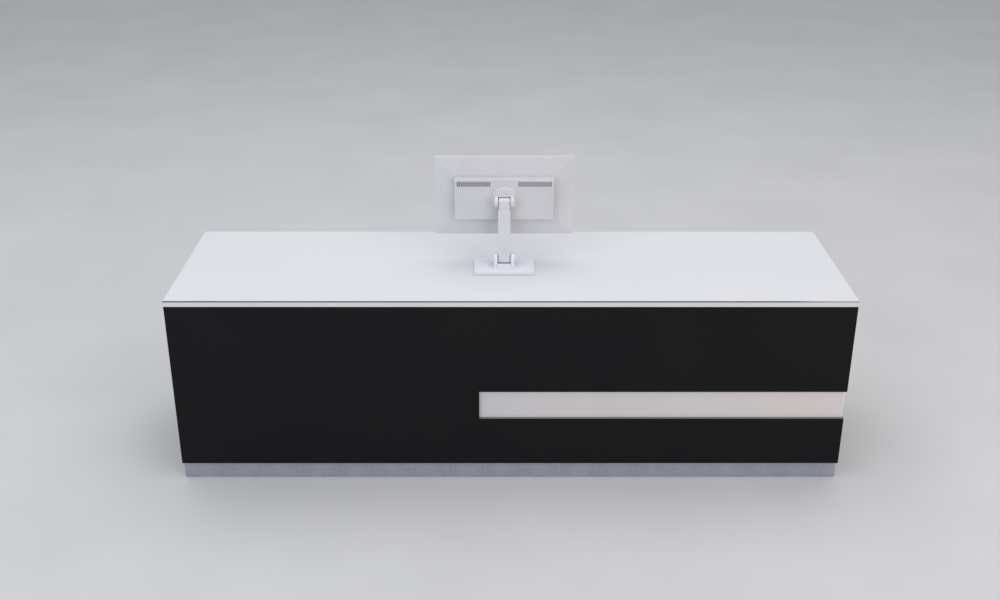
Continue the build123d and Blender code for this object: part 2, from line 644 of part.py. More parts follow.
def side_plane(half_width):
    """The head's side view at its left: x is the depth and y the height."""
    return Plane(origin=HEAD.from_local_coords((-half_width, 0, 0)), x_dir=-HEAD.z_dir, z_dir=(1, 0, 0))


with BuildPart() as mount_yoke:
    with BuildSketch(at_depth(DISC_BACK)):
        Circle(MOUNT_DISC_R)
    extrude(amount=-(HOUSING_BACK - DISC_BACK))
    fillet(mount_yoke.faces().sort_by(Axis.Y)[0].edges(), radius=MOUNT_EASE)
    with BuildSketch(at_depth(DISC_BACK - MOUNT_EASE)):
        Circle(MOUNT_RING_R)
    extrude(amount=-MOUNT_EASE)
    with BuildSketch(side_plane(UPPER_EAR_X[1])):
        Circle(UPPER_EAR_R)
        with Locations((DISC_BACK / 2, 0)):
            Rectangle(DISC_BACK, 2 * UPPER_EAR_R)
    extrude(amount=2 * UPPER_EAR_X[1])
    # The slot for the neck is round behind it, and straight below the axis.
    with BuildSketch(side_plane(UPPER_EAR_X[0])):
        Circle(NECK_SLOT_R)
        with Locations(((HOOD_EDGE - UPPER_EAR_R) / 2, 0)):
            Rectangle(HOOD_EDGE + UPPER_EAR_R, 2 * UPPER_EAR_R)
        with Locations(((NECK_SLOT_BACK - UPPER_EAR_R) / 2, -UPPER_EAR_R / 2)):
            Rectangle(NECK_SLOT_BACK + UPPER_EAR_R, UPPER_EAR_R)
    extrude(amount=2 * UPPER_EAR_X[0], mode=Mode.SUBTRACT)
    with BuildSketch(side_plane(UPPER_EAR_X[1])):
        Circle(STAND_PIN_R + RUNNING_GAP)
    extrude(amount=2 * UPPER_EAR_X[1], mode=Mode.SUBTRACT)
keep(mount_yoke.part, "mount_yoke")

PLATEAU_RIM = 5.0
PLATEAU_HALF_W = HOUSING_HALF_W + PLATEAU_RIM
PLATEAU_MIDDLE = (HOUSING_TOP + HOUSING_BOTTOM) / 2
PLATEAU_H = HOUSING_TOP - HOUSING_BOTTOM + 2 * PLATEAU_RIM


def shell_form(inward, deeper):
    """The rear shell's form: a low pyramid of four facets on a straight rim."""
    with BuildSketch(at_depth(PLATEAU + deeper)) as plateau:
        with Locations((0, PLATEAU_MIDDLE)):
            Rectangle(2 * PLATEAU_HALF_W, PLATEAU_H)
    with BuildSketch(at_depth(RIM_BACK + deeper)) as rim:
        with Locations((0, PANEL_MIDDLE)):
            Rectangle(PANEL_W - 2 * inward, PANEL_H - 2 * inward)
    loft([plateau.sketch, rim.sketch])
    extrude(rim.sketch, amount=-(RIM_FRONT - RIM_BACK))


KEY_HEIGHTS = [KEY_MIDDLE + (2 - index) * KEY_PITCH for index in range(len(KEY_NAMES))]
KEY_HOLE_CORNER = 2.0

with BuildPart() as shell_hollow:
    shell_form(SHELL_WALL, SHELL_WALL)

with BuildPart() as rear_shell:
    shell_form(0.0, 0.0)
    add(shell_hollow.part, mode=Mode.SUBTRACT)
    with BuildSketch(at_depth(PLATEAU - 1.0)):
        with Locations(*((KEY_X, height) for height in KEY_HEIGHTS)):
            RectangleRounded(KEY_W + 2 * KEY_CLEARANCE, KEY_H + 2 * KEY_CLEARANCE, KEY_HOLE_CORNER)
    extrude(amount=-(RIM_BACK - PLATEAU + SHELL_WALL), mode=Mode.SUBTRACT)
keep(rear_shell.part, "rear_shell")

# Sockets on the circuit board: x and depth ranges of a socket, and its hollow, open downwards.
SOCKETS = {
    "power": {"x": (-62.0, -36.0), "depth": (34.0, 49.98), "wall": 2.0, "deep": 15.0},
    "video": {"x": (0.0, 19.0), "depth": (39.98, 49.98), "wall": 1.6, "deep": 11.0},
}
SOCKET_FACE = HOUSING_BOTTOM + 0.5
SOCKET_HEIGHT = 20.0
SOCKET_MARGIN = 0.4
HOUSING_WALL = 2.5
HOUSING_EASE = 3.0


def head_block(x_range, depth_range, height_range, mode=Mode.ADD):
    """A block of the head, or a hollow, by its width, depth and height ranges."""
    with BuildSketch(at_depth(depth_range[0])) as outline:
        with Locations(((x_range[0] + x_range[1]) / 2, (height_range[0] + height_range[1]) / 2)):
            Rectangle(x_range[1] - x_range[0], height_range[1] - height_range[0])
    extrude(outline.sketch, amount=-(depth_range[1] - depth_range[0]), mode=mode)


def grown(span, margin):
    """A range widened by a margin at both ends."""
    return (span[0] - margin, span[1] + margin)


with BuildPart() as vent_housing:
    housing_h = HOUSING_TOP - HOUSING_BOTTOM
    with BuildSketch(at_depth(PLATEAU)):
        with Locations((0, PLATEAU_MIDDLE)):
            Rectangle(2 * HOUSING_HALF_W, housing_h)
    extrude(amount=PLATEAU - HOUSING_BACK)
    fillet(vent_housing.faces().sort_by(Axis.Y)[0].edges(), radius=HOUSING_EASE)
    with BuildSketch(at_depth(HOUSING_BACK + HOUSING_WALL)):
        with Locations((0, PLATEAU_MIDDLE)):
            Rectangle(2 * (HOUSING_HALF_W - HOUSING_WALL), housing_h - 2 * HOUSING_WALL)
    extrude(amount=-(PLATEAU - HOUSING_BACK), mode=Mode.SUBTRACT)
    with BuildSketch(at_depth(HOUSING_BACK - 1.0)):
        for side in (-1, 1):
            with Locations((side * SLOT_GROUP_X, SLOT_MIDDLE)):
                with GridLocations(SLOT_PITCH, SLOT_H, SLOTS_PER_GROUP, 1):
                    Rectangle(SLOT_W, SLOT_H)
    extrude(amount=-(HOUSING_WALL + 2.0), mode=Mode.SUBTRACT)
    cut_z = (HOUSING_BOTTOM - 1.0, HOUSING_BOTTOM + HOUSING_WALL + 1.0)
    for socket in SOCKETS.values():
        cut = (grown(socket["x"], SOCKET_MARGIN), grown(socket["depth"], SOCKET_MARGIN), cut_z)
        head_block(*cut, mode=Mode.SUBTRACT)
keep(vent_housing.part, "vent_housing")

PCB_BACK = 50.0
PCB_T = 1.6
PCB_MIDDLE = (-10.0, -26.0)
PCB_SIZE = (170.0, 100.0)
POST_INSET = 10.0
POST_R = 3.0
with BuildPart() as display_board:
    # The circuit board on four posts, and the power and the video socket, solids of their own
    # a hair off its back.
    with BuildSketch(at_depth(PCB_BACK)):
        with Locations(PCB_MIDDLE):
            Rectangle(*PCB_SIZE)
    extrude(amount=-PCB_T)
    with BuildSketch(at_depth(PCB_BACK + PCB_T)):
        with Locations(PCB_MIDDLE):
            with GridLocations(PCB_SIZE[0] - 2 * POST_INSET, PCB_SIZE[1] - 2 * POST_INSET, 2, 2):
                Circle(POST_R)
    extrude(amount=-(PLATEAU - PCB_BACK - PCB_T))
    for socket in SOCKETS.values():
        wall = socket["wall"]
        hollow_z = (SOCKET_FACE - 1.0, SOCKET_FACE + socket["deep"])
        head_block(socket["x"], socket["depth"], (SOCKET_FACE, SOCKET_FACE + SOCKET_HEIGHT))
        head_block(grown(socket["x"], -wall), grown(socket["depth"], -wall), hollow_z, Mode.SUBTRACT)
keep(display_board.part, "display_board")

BEZEL_EASE = 1.2
BEZEL_LIP = 2.0
BEZEL_HIDES = 3.0
PANEL_T = 8.0
PANEL_PLAY = 0.5
with BuildPart() as front_bezel:
    with BuildSketch(at_depth(RIM_FRONT)):
        with Locations((0, PANEL_MIDDLE)):
            Rectangle(PANEL_W, PANEL_H)
    extrude(amount=-(BEZEL_FRONT - RIM_FRONT))
    fillet(front_bezel.faces().sort_by(Axis.Y)[-1].edges(), radius=BEZEL_EASE)
    with BuildSketch(at_depth(RIM_FRONT)):
        with Locations((0, SCREEN_MIDDLE)):
            Rectangle(SCREEN_W + 2 * BEZEL_HIDES, SCREEN_H + 2 * BEZEL_HIDES)
    extrude(amount=-(BEZEL_FRONT - RIM_FRONT - BEZEL_LIP), mode=Mode.SUBTRACT)
    with BuildSketch(at_depth(RIM_FRONT)):
        with Locations((0, SCREEN_MIDDLE)):
            Rectangle(SCREEN_W, SCREEN_H)
    extrude(amount=-(BEZEL_FRONT - RIM_FRONT), mode=Mode.SUBTRACT)
keep(front_bezel.part, "front_bezel")

with BuildPart() as lcd_panel:
    lcd_margin = 2 * (BEZEL_HIDES - PANEL_PLAY)
    with BuildSketch(at_depth(BEZEL_FRONT - BEZEL_LIP - PANEL_T)):
        with Locations((0, SCREEN_MIDDLE)):
            Rectangle(SCREEN_W + lcd_margin, SCREEN_H + lcd_margin)
    extrude(amount=-PANEL_T)
keep(lcd_panel.part, "lcd_panel")

for key_name, height in zip(KEY_NAMES, KEY_HEIGHTS):
    with BuildPart() as key:
        # A cap that stands a little proud of the shell, on a flange that stops inside it.
        with BuildSketch(at_depth(KEY_BACK)):
            with Locations((KEY_X, height)):
                RectangleRounded(KEY_W, KEY_H, KEY_CORNER)
        extrude(amount=-(KEY_FRONT - KEY_BACK))
        fillet(key.faces().sort_by(Axis.Y)[0].edges(), radius=KEY_EASE)
        with BuildSketch(at_depth(KEY_FRONT)):
            with Locations((KEY_X, height)):
                Rectangle(KEY_W + 2 * KEY_FLANGE, KEY_H + 2 * KEY_FLANGE)
        extrude(amount=-KEY_FLANGE_T)
    keep(key.part, key_name)
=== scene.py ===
# %% [markdown]
# # A checkout counter with its till display
# The packed CAD model gives every board, hinge and housing its place. This lesson puts finished
# pieces in those places: boards with eased edges, bent strips, turned feet and moulded display
# parts, each with a procedural finish. Everything is in metres, in the CAD's own frame.

# %% Load the frame
import math

import bmesh
import bpy
from mathutils import Matrix, Vector


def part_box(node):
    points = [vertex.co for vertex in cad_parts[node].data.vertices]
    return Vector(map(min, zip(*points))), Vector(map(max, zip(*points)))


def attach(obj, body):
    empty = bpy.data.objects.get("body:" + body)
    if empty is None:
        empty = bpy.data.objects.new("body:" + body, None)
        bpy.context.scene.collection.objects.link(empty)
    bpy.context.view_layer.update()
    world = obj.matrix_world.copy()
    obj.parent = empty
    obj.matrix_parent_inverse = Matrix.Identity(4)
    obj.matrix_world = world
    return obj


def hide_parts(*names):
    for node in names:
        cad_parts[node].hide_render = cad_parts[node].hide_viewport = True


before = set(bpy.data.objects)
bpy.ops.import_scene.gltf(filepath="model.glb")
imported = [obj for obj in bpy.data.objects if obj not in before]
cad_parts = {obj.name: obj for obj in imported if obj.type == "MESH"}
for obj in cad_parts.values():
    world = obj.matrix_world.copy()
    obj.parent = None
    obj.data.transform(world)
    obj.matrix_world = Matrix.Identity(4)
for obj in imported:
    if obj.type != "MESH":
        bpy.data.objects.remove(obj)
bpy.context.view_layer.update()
MM = 0.001

# %% [markdown]
# ## A toolbox for finishes
# A real surface is never one flat colour: laminate has grain, steel has brush marks and plastic
# has a moulded bloom. Image textures could show that, but nodes stay sharp at any distance. Each
# finish below is one Principled shader, fed by patterns that read Object coordinates in metres.


# %% The finish helper
class Finish:
    """One node material with its Principled shader and short calls for common patterns."""

    def __init__(self, name, **sockets):
        self.material = bpy.data.materials.new(name)
        self.material.use_nodes = True
        self.tree = self.material.node_tree
        self.shader = self.tree.nodes["Principled BSDF"]
        for socket, value in sockets.items():
            self.shader.inputs[socket.replace("_", " ")].default_value = value
        self.place = self.node("ShaderNodeTexCoord").outputs["Object"]

    def node(self, kind, inputs=None, **settings):
        """A node with its settings; inputs are values or the sockets they come from."""
        made = self.tree.nodes.new(kind)
        for setting, value in settings.items():
            setattr(made, setting, value)
        for socket, value in (inputs or {}).items():
            if isinstance(value, bpy.types.NodeSocket):
                self.tree.links.new(value, made.inputs[socket])
            else:
                made.inputs[socket].default_value = value
        return made

    def stretched(self, scale):
        """Object coordinates multiplied along each axis, for grain and brush marks."""
        mapping = self.node("ShaderNodeMapping", {"Vector": self.place, "Scale": scale})
        return mapping.outputs["Vector"]

    def noise(self, scale, detail=3.0, rough=0.5, vector=None):
        """Fractal noise from 0 to 1; scale is in features per metre."""
        inputs = {
            "Vector": vector or self.place, "Scale": scale, "Detail": detail, "Roughness": rough,
        }
        return self.node("ShaderNodeTexNoise", inputs).outputs["Fac"]

    def span(self, value, low, high, start=0.3, stop=0.7):
        """Maps a pattern's start..stop to low..high."""
        inputs = {
            "Value": value, "From Min": start, "From Max": stop, "To Min": low, "To Max": high,
        }
        return self.node("ShaderNodeMapRange", inputs).outputs["Result"]

    def math(self, operation, first, second=0.0):
        """One sum on numbers or sockets."""
        return self.node("ShaderNodeMath", {0: first, 1: second}, operation=operation).outputs[0]

    def blend(self, share, first, second):
        """A mix of two colours, given as sockets or as colour values."""
        inputs = {0: share, 6: first, 7: second}
        return self.node("ShaderNodeMix", inputs, data_type="RGBA").outputs[2]

    def axis(self, name):
        """One of the X, Y and Z object coordinates."""
        return self.node("ShaderNodeSeparateXYZ", {"Vector": self.place}).outputs[name]

    def feed(self, socket, value):
        """Links a pattern to one of the shader's sockets."""
        self.tree.links.new(value, self.shader.inputs[socket])

    def relief(self, height, distance):
        """Bump of a real height in metres."""
        inputs = {"Height": height, "Distance": distance, "Strength": 1.0}
        bump = self.node("ShaderNodeBump", inputs)
        self.feed("Normal", bump.outputs["Normal"])


print("patterns:", [name for name in vars(Finish) if not name.startswith("_")])

# %% [markdown]
# ## Colours
# Paint cards and screens give colours in sRGB, but a shader adds up light, so it wants linear
# values. One function turns the first into the second. Another colours a surface between two
# close shades of it, which is how almost every finish here gets its life.


# %% Colour helpers
def tone(red, green, blue):
    """A colour as a paint card gives it (0 to 255, sRGB), as the shader's linear values."""
    channels = [c / 255 for c in (red, green, blue)]
    linear = [c / 12.92 if c <= 0.04045 else ((c + 0.055) / 1.055) ** 2.4 for c in channels]
    return (*linear, 1.0)


def shades(finish, value, dark, light):
    """Colours a surface between two shades by a pattern."""
    finish.feed("Base Color", finish.blend(value, dark, light))


print("a mid grey in linear values", [round(v, 3) for v in tone(128, 128, 128)])

# %% [markdown]
# ## The white glass of the worktop
# The top is a thin sheet of satin glass painted on its back. Seen from above it is a cool white
# with only a trace of clear coat, and its cut edge is much darker, because light is lost along
# the sheet. The finish tells the two apart by height: below the ground arris it is the edge.
# Towards the right end the edge catches the light of the room and turns paler.

# %% White glass
glass_low, glass_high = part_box("worktop_glass")
ARRIS = 0.5 * MM
LIT_END = (1.02, 1.12)


def white_glass():
    """Cool white seen from above, dark at the cut edge, pale again at the edge's right end."""
    finish = Finish("white_glass", Roughness=0.3, IOR=1.5)
    finish.shader.inputs["Coat Roughness"].default_value = 0.15
    cloud = finish.span(finish.noise(2.2), 0.0, 1.0)
    top = finish.blend(cloud, tone(217, 219, 223), tone(222, 223, 227))
    grind = finish.span(finish.noise(90.0), 0.0, 1.0)
    edge = finish.blend(grind, tone(30, 32, 36), tone(44, 46, 50))
    lit_end = finish.span(finish.axis("X"), 0.0, 1.0, *LIT_END)
    edge = finish.blend(lit_end, edge, tone(150, 146, 148))
    is_top = finish.math("GREATER_THAN", finish.axis("Z"), glass_high.z - 0.9 * ARRIS)
    finish.feed("Base Color", finish.blend(is_top, edge, top))
    finish.feed("Coat Weight", finish.math("MULTIPLY", is_top, 0.04))
    finish.feed("Specular IOR Level", finish.span(is_top, 0.1, 0.35, 0.0, 1.0))
    smears = finish.noise(3.0, detail=2.0, rough=0.4)
    finish.feed("Roughness", finish.span(smears, 0.46, 0.54))
    return finish.material


WHITE_GLASS = white_glass()
print("glass sheet", round(glass_high.z - glass_low.z, 4), "thick, arris", ARRIS)

# %% [markdown]
# ## Laminates
# The boards are chipboard with a skin. The black skin is a fine matte emboss that still shows
# faint wiping marks, the white one is a satin pearl emboss, and the grey one inside is a speckled
# melamine. All three are the same recipe: two close shades, a fine bump and uneven roughness. The
# front's cut ledge under the strip is painted paler than its face, a painted reflection of the pale
# strip above it. The strip is a pale acrylic sheet. Its finish has a faint painted glow, since no
# lamp is modelled in it, painted warm light towards its right end and a painted highlight on its
# bend.


# %% Laminate finishes
BLACK_SHADES = (tone(11, 12, 15), tone(16, 16, 18))
BLACK_SKIN = (900.0, 0.02 * MM, 0.5, 0.62, 0.15)
BEND_BAND = 2.5 * MM


def embossed(name, grain, height, rough_low, rough_high, level=0.5):
    """What all the laminates share: a clouded pattern, wiping marks and the grain's relief."""
    finish = Finish(name)
    finish.shader.inputs["Specular IOR Level"].default_value = level
    speckle = finish.noise(grain, detail=2.0)
    drift = finish.noise(3.0, detail=4.0)
    finish.cloud = finish.span(finish.blend(0.35, drift, speckle), 0.0, 1.0, 0.35, 0.65)
    finish.feed("Roughness", finish.span(finish.noise(6.0, 6.0, 0.65), rough_low, rough_high))
    finish.relief(speckle, height)
    return finish


def laminate(name, dark, light, *skin):
    """A matte or satin skin between two close shades, with a fine embossed grain."""
    finish = embossed(name, *skin)
    shades(finish, finish.cloud, dark, light)
    return finish.material


def black_with_painted_ledge(face_y, ledge_z):
    """The black skin of the front, with a painted reflection that greys its cut ledge under the
    strip.
    """
    finish = embossed("black_laminate_painted_ledge", *BLACK_SKIN)
    off = finish.math("ABSOLUTE", finish.math("SUBTRACT", finish.axis("Z"), ledge_z))
    behind = finish.math("GREATER_THAN", finish.axis("Y"), face_y + 0.5 * MM)
    is_ledge = finish.math("MULTIPLY", finish.math("LESS_THAN", off, 0.4 * MM), behind)
    skin = finish.blend(finish.cloud, *BLACK_SHADES)
    # The ledge's grey is a painted reflection of the pale strip above it.
    finish.feed("Base Color", finish.blend(is_ledge, skin, tone(118, 118, 120)))
    return finish.material


def strip_acrylic(corner):
    """A pale sheet with a faint painted glow, painted warm light towards the right and a painted
    highlight on its bend.
    """
    finish = embossed("strip_acrylic", 500.0, 0.01 * MM, 0.3, 0.4)
    skin = finish.blend(finish.cloud, tone(180, 178, 180), tone(187, 185, 186))
    # Painted warm light: the colour turns warmer towards the strip's right end.
    warm = finish.span(finish.axis("X"), 0.0, 1.0, 0.0, corner.x)
    skin = finish.blend(warm, skin, tone(196, 188, 186))
    # Painted highlight along the bend at the strip's right front corner.
    at_end = finish.math("GREATER_THAN", finish.axis("X"), corner.x - BEND_BAND)
    at_front = finish.math("LESS_THAN", finish.axis("Y"), corner.y + BEND_BAND)
    painted_bend_highlight = finish.math("MULTIPLY", at_end, at_front)
    finish.feed("Base Color", finish.blend(painted_bend_highlight, skin, tone(226, 223, 222)))
    # Painted glow: the strip is no lamp, its finish only gives back a faint light.
    finish.shader.inputs["Emission Color"].default_value = tone(228, 224, 224)
    finish.shader.inputs["Emission Strength"].default_value = 0.1
    return finish.material


BLACK_LAMINATE = laminate("black_laminate", *BLACK_SHADES, *BLACK_SKIN)
WHITE_LAMINATE = laminate(
    "white_laminate", tone(206, 205, 206), tone(213, 211, 211), 700.0, 0.02 * MM, 0.34, 0.46
)
FRONT_LAMINATE = laminate(
    "front_laminate", tone(210, 210, 212), tone(217, 217, 218), 700.0, 0.02 * MM, 0.34, 0.46
)
CARCASS_BOARD = laminate(
    "carcass_board", tone(150, 151, 154), tone(166, 167, 169), 1400.0, 0.03 * MM, 0.5, 0.6
)

strip_low, strip_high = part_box("light_strip")
clad_low, clad_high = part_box("front_cladding")
strip_corner = Vector((strip_high.x, strip_low.y))
BLACK_PAINTED_LEDGE = black_with_painted_ledge(clad_low.y, strip_low.z)
STRIP_SKIN = strip_acrylic(strip_corner)
print("ledge at", round(strip_low.z, 4))

# %% [markdown]
# ## The metal look of the plinth
# The plinth's laminate is printed as brushed metal. The nodes work in cells that repeat every
# 142 mm along the board: each cell gets lighter towards its middle and has a faint pale joint, over
# short brush marks and a mottled bloom.

# %% Plinth laminate
PATTERN_REPEAT = 142 * MM


def plinth_laminate():
    """Brush marks and bloom, lighter towards the middle of each 142 mm cell."""
    finish = Finish("plinth_laminate", Metallic=0.35)
    run = finish.math("ADD", finish.axis("X"), finish.axis("Y"))
    within = finish.math("FRACT", finish.math("DIVIDE", run, PATTERN_REPEAT))
    from_joint = finish.math("PINGPONG", within, 0.5)
    joint = finish.span(from_joint, 0.2, 0.0, 0.0, 0.03)
    brush = finish.noise(60.0, 4.0, 0.6, finish.stretched((6.0, 6.0, 0.9)))
    mottle = finish.noise(38.0, 5.0, 0.65)
    brushed = finish.math("MULTIPLY", brush, 0.45)
    mixed = finish.math("ADD", brushed, finish.math("MULTIPLY", mottle, 0.55))
    ramp = finish.span(from_joint, -0.06, 0.06, 0.0, 0.5)
    value = finish.span(finish.math("ADD", mixed, ramp), 0.0, 1.0, 0.25, 0.75)
    base = finish.blend(value, tone(142, 147, 159), tone(166, 170, 181))
    finish.feed("Base Color", finish.blend(joint, base, tone(188, 191, 199)))
    finish.feed("Roughness", finish.span(mixed, 0.34, 0.5))
    finish.relief(brush, 0.03 * MM)
    return finish.material


PLINTH_LAMINATE = plinth_laminate()
print("pattern comes round every", PATTERN_REPEAT)

# %% [markdown]
# ## Metals
# Handles and hinges are brushed: long scratches along one direction, which spread the highlight
# across them. Feet, brackets and runners are zinc plated, with a crystal spangle. Drawer trays
# are powder coated, which leaves a fine orange peel.


# %% Metal finishes
def brushed_steel(name, stretch, light=196):
    """Scratches along the direction that is stretched least."""
    finish = Finish(name, Metallic=1.0)
    lines = finish.noise(400.0, 3.0, 0.6, finish.stretched(stretch))
    dark = light - 26
    scratch = finish.span(lines, 0.0, 1.0)
    shades(finish, scratch, tone(dark, dark, dark + 2), tone(light, light, light + 2))
    finish.feed("Roughness", finish.span(lines, 0.22, 0.38))
    finish.relief(lines, 0.01 * MM)
    return finish.material


def zinc_plate():
    """Plating with a crystal spangle, from the grey of random cells."""
    finish = Finish("zinc_plate", Metallic=0.9)
    inputs = {"Vector": finish.place, "Scale": 160.0}
    spangle = finish.node("ShaderNodeTexVoronoi", inputs).outputs["Color"]
    grey = finish.node("ShaderNodeRGBToBW", {"Color": spangle}).outputs["Val"]
    shades(finish, grey, tone(150, 153, 157), tone(186, 189, 193))
    finish.feed("Roughness", finish.span(grey, 0.3, 0.45, 0.0, 1.0))
    return finish.material


def powder_coat():
    """Grey paint with the orange peel that baking leaves."""
    finish = Finish("powder_coat")
    peel = finish.noise(650.0, 2.0)
    cloud = finish.span(finish.noise(12.0), 0.0, 1.0)
    shades(finish, cloud, tone(137, 140, 145), tone(150, 152, 157))
    finish.feed("Roughness", finish.span(peel, 0.42, 0.58))
    finish.relief(peel, 0.06 * MM)
    return finish.material


HANDLE_STEEL = brushed_steel("handle_steel", (0.05, 1.0, 1.0))
UPRIGHT_STEEL = brushed_steel("upright_handle_steel", (1.0, 1.0, 0.05))
BRIGHT_STEEL = brushed_steel("bright_steel", (1.0, 1.0, 0.1), 205)
ZINC = zinc_plate()
TRAY_PAINT = powder_coat()
print("finishes so far", len(bpy.data.materials))

# %% [markdown]
# ## Plastics of the display
# The case is a white satin moulding with a very fine spark-eroded texture, and the stand's parts
# are a little brighter. Behind the vents there is no light, so that finish turns dark inside a box
# that leans with the head. The base plate is brightest on its top, because its upright rim and its
# front slope carry painted shade.


# %% Display finishes
def moulded(name, rough_low, rough_high):
    """The gloss and the fine texture that all the display's plastics share."""
    finish = Finish(name, IOR=1.49)
    finish.shader.inputs["Coat Weight"].default_value = 0.15
    finish.shader.inputs["Coat Roughness"].default_value = 0.3
    finish.feed("Roughness", finish.span(finish.noise(25.0, 4.0), rough_low, rough_high))
    finish.relief(finish.noise(2200.0, 1.0), 0.012 * MM)
    return finish


def case_white(name, dark, light, rough_low, rough_high):
    """A moulded white plastic between two close shades."""
    finish = moulded(name, rough_low, rough_high)
    shades(finish, finish.span(finish.noise(9.0, 4.0), 0.0, 1.0), dark, light)
    return finish.material


def vented_white(name, dark, light, inside, axis_point, lean):
    """The same plastic, dark in an unlit box given by its middle and half sizes."""
    finish = moulded(name, 0.34, 0.46)
    inputs = {"Vector": finish.place, "Location": axis_point, "Rotation": (lean, 0, 0)}
    upright = finish.node("ShaderNodeMapping", inputs, vector_type="TEXTURE")
    parts = finish.node("ShaderNodeSeparateXYZ", {"Vector": upright.outputs["Vector"]})
    hidden = 1.0
    for axis, (middle, half) in zip("XYZ", inside):
        off = finish.math("ABSOLUTE", finish.math("SUBTRACT", parts.outputs[axis], middle))
        hidden = finish.math("MULTIPLY", finish.math("LESS_THAN", off, half), hidden)
    white = finish.blend(finish.span(finish.noise(9.0, 4.0), 0.0, 1.0), dark, light)
    finish.feed("Base Color", finish.blend(hidden, white, tone(16, 16, 18)))
    return finish.material


def base_white(front_y, rim_top):
    """The stand's plate: a bright top, with painted shade that greys its upright rim and front
    slope.
    """
    finish = moulded("base_white", 0.2, 0.3)
    cloud = finish.span(finish.noise(9.0, 4.0), 0.0, 1.0)
    top = finish.blend(cloud, tone(236, 237, 246), tone(240, 241, 250))
    # Painted shade on the front slope, greyer than the top.
    slope = finish.span(finish.axis("Y"), 1.0, 0.0, front_y + 13 * MM, front_y + 17 * MM)
    top = finish.blend(slope, top, tone(214, 216, 224))
    # Painted shade on the upright rim below rim_top.
    painted_rim_shade = finish.math("LESS_THAN", finish.axis("Z"), rim_top)
    finish.feed("Base Color", finish.blend(painted_rim_shade, top, tone(204, 206, 214)))
    return finish.material


CASE_WHITE = case_white("case_white", tone(200, 200, 204), tone(206, 206, 210), 0.34, 0.46)
STAND_WHITE = case_white("stand_white", tone(206, 206, 210), tone(213, 213, 216), 0.26, 0.36)
YOKE_WHITE = case_white("yoke_white", tone(221, 222, 229), tone(227, 228, 234), 0.26, 0.36)
base_low, base_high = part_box("display_base")
BASE_WHITE = base_white(base_low.y, base_low.z + 2.9 * MM)
print("moulded finishes", CASE_WHITE.name, STAND_WHITE.name, YOKE_WHITE.name, BASE_WHITE.name)

# %% [markdown]
# ## Screen, circuit board and rubber
# The screen is a dark film under a clear coat, with a fine check of cells. The circuit board has a
# green mask over tracks that turn at right angles, which is what a Voronoi pattern in Manhattan
# distance draws. The stand's pads are dull rubber.


# %% Screen, board and rubber finishes
def screen_film():
    """Dark film under a clear coat, with a fine check of cells."""
    finish = Finish("screen_film", Roughness=0.18, IOR=1.5)
    finish.shader.inputs["Coat Weight"].default_value = 0.6
    finish.shader.inputs["Coat Roughness"].default_value = 0.05
    inputs = {"Vector": finish.place, "Scale": 1900.0}
    cells = finish.node("ShaderNodeTexChecker", inputs).outputs["Fac"]
    value = finish.math("MULTIPLY", cells, finish.span(finish.noise(5.0), 0.5, 1.0))
    shades(finish, value, tone(16, 17, 20), tone(24, 26, 32))
    return finish.material


def circuit_mask():
    """Green mask over tracks that turn at right angles."""
    finish = Finish("circuit_mask", Roughness=0.4)
    inputs = {"Vector": finish.place, "Scale": 240.0}
    tracks = finish.node("ShaderNodeTexVoronoi", inputs, distance="MANHATTAN").outputs["Distance"]
    line = finish.span(tracks, 0.0, 1.0, 0.35, 0.45)
    shades(finish, line, tone(18, 86, 52), tone(60, 140, 92))
    finish.relief(line, 0.03 * MM)
    return finish.material


def soft_rubber():
    """Dull black rubber with a fine grain."""
    finish = Finish("soft_rubber")
    grain = finish.noise(800.0, 2.0)
    shades(finish, finish.span(grain, 0.0, 1.0), tone(34, 34, 35), tone(48, 48, 49))
    finish.feed("Roughness", finish.span(grain, 0.7, 0.85))
    finish.relief(grain, 0.05 * MM)
    return finish.material


SCREEN_FILM = screen_film()
CIRCUIT_MASK = circuit_mask()
SOFT_RUBBER = soft_rubber()
print("finishes", len(bpy.data.materials))

# %% [markdown]
# ## A workshop for boards
# Most pieces are boards: a box whose edges were eased by the edge-bander's scraper. A cube with
# bmesh bevel does exactly that. A rod is a cone with two equal ends, turned along its own line,
# and its end rings are eased the same way.


# %% Shaping helpers
def ease(bm, edges, width, segments=2):
    """Rounds the given edges over."""
    bmesh.ops.bevel(
        bm, geom=edges, offset=width, segments=segments, profile=0.5, affect="EDGES", material=-1
    )


def crisp_edges(edges, angle=30.0):
    """Those of the edges where two faces meet at more than an angle, in degrees."""
    limit = math.radians(angle)
    return [e for e in edges if len(e.link_faces) == 2 and e.calc_face_angle() > limit]


def block(bm, low, high, width=0.0, segments=2):
    """A box between two corners with its edges eased."""
    low, high = Vector(low), Vector(high)
    verts = bmesh.ops.create_cube(bm, size=1.0)["verts"]
    bmesh.ops.scale(bm, vec=high - low, verts=verts)
    bmesh.ops.translate(bm, vec=(low + high) / 2, verts=verts)
    if width:
        ease(bm, list({e for v in verts for e in v.link_edges}), width, segments)


def rod(bm, start, end, radius, width=0.0, sides=32):
    """A round rod between two points, with its end edges eased."""
    start, end = Vector(start), Vector(end)
    along = end - start
    turn = along.to_track_quat("Z", "Y").to_matrix().to_4x4()
    place = Matrix.Translation((start + end) / 2) @ turn
    made = bmesh.ops.create_cone(
        bm, cap_ends=True, segments=sides, radius1=radius, radius2=radius,
        depth=along.length, matrix=place,
    )["verts"]
    if width:
        rings = {e for v in made for e in v.link_edges if e.calc_face_angle(0.0) > 1.0}
        ease(bm, list(rings), width, 2)


print("eased edges, blocks and rods are ready")

# %% [markdown]
# ## From mesh to piece
# Every piece ends the same way: its normals face outward, its faces are smooth up to a sharp
# angle, and a modifier weights the normals by face area, which keeps flat faces flat beside soft
# edges. Where one CAD node is a set of boards, its mesh falls into separate shells, and each
# shell gives one board.

# %% Finishing helpers
SHARP_ANGLE = math.radians(35.0)
WELD = 0.01 * MM


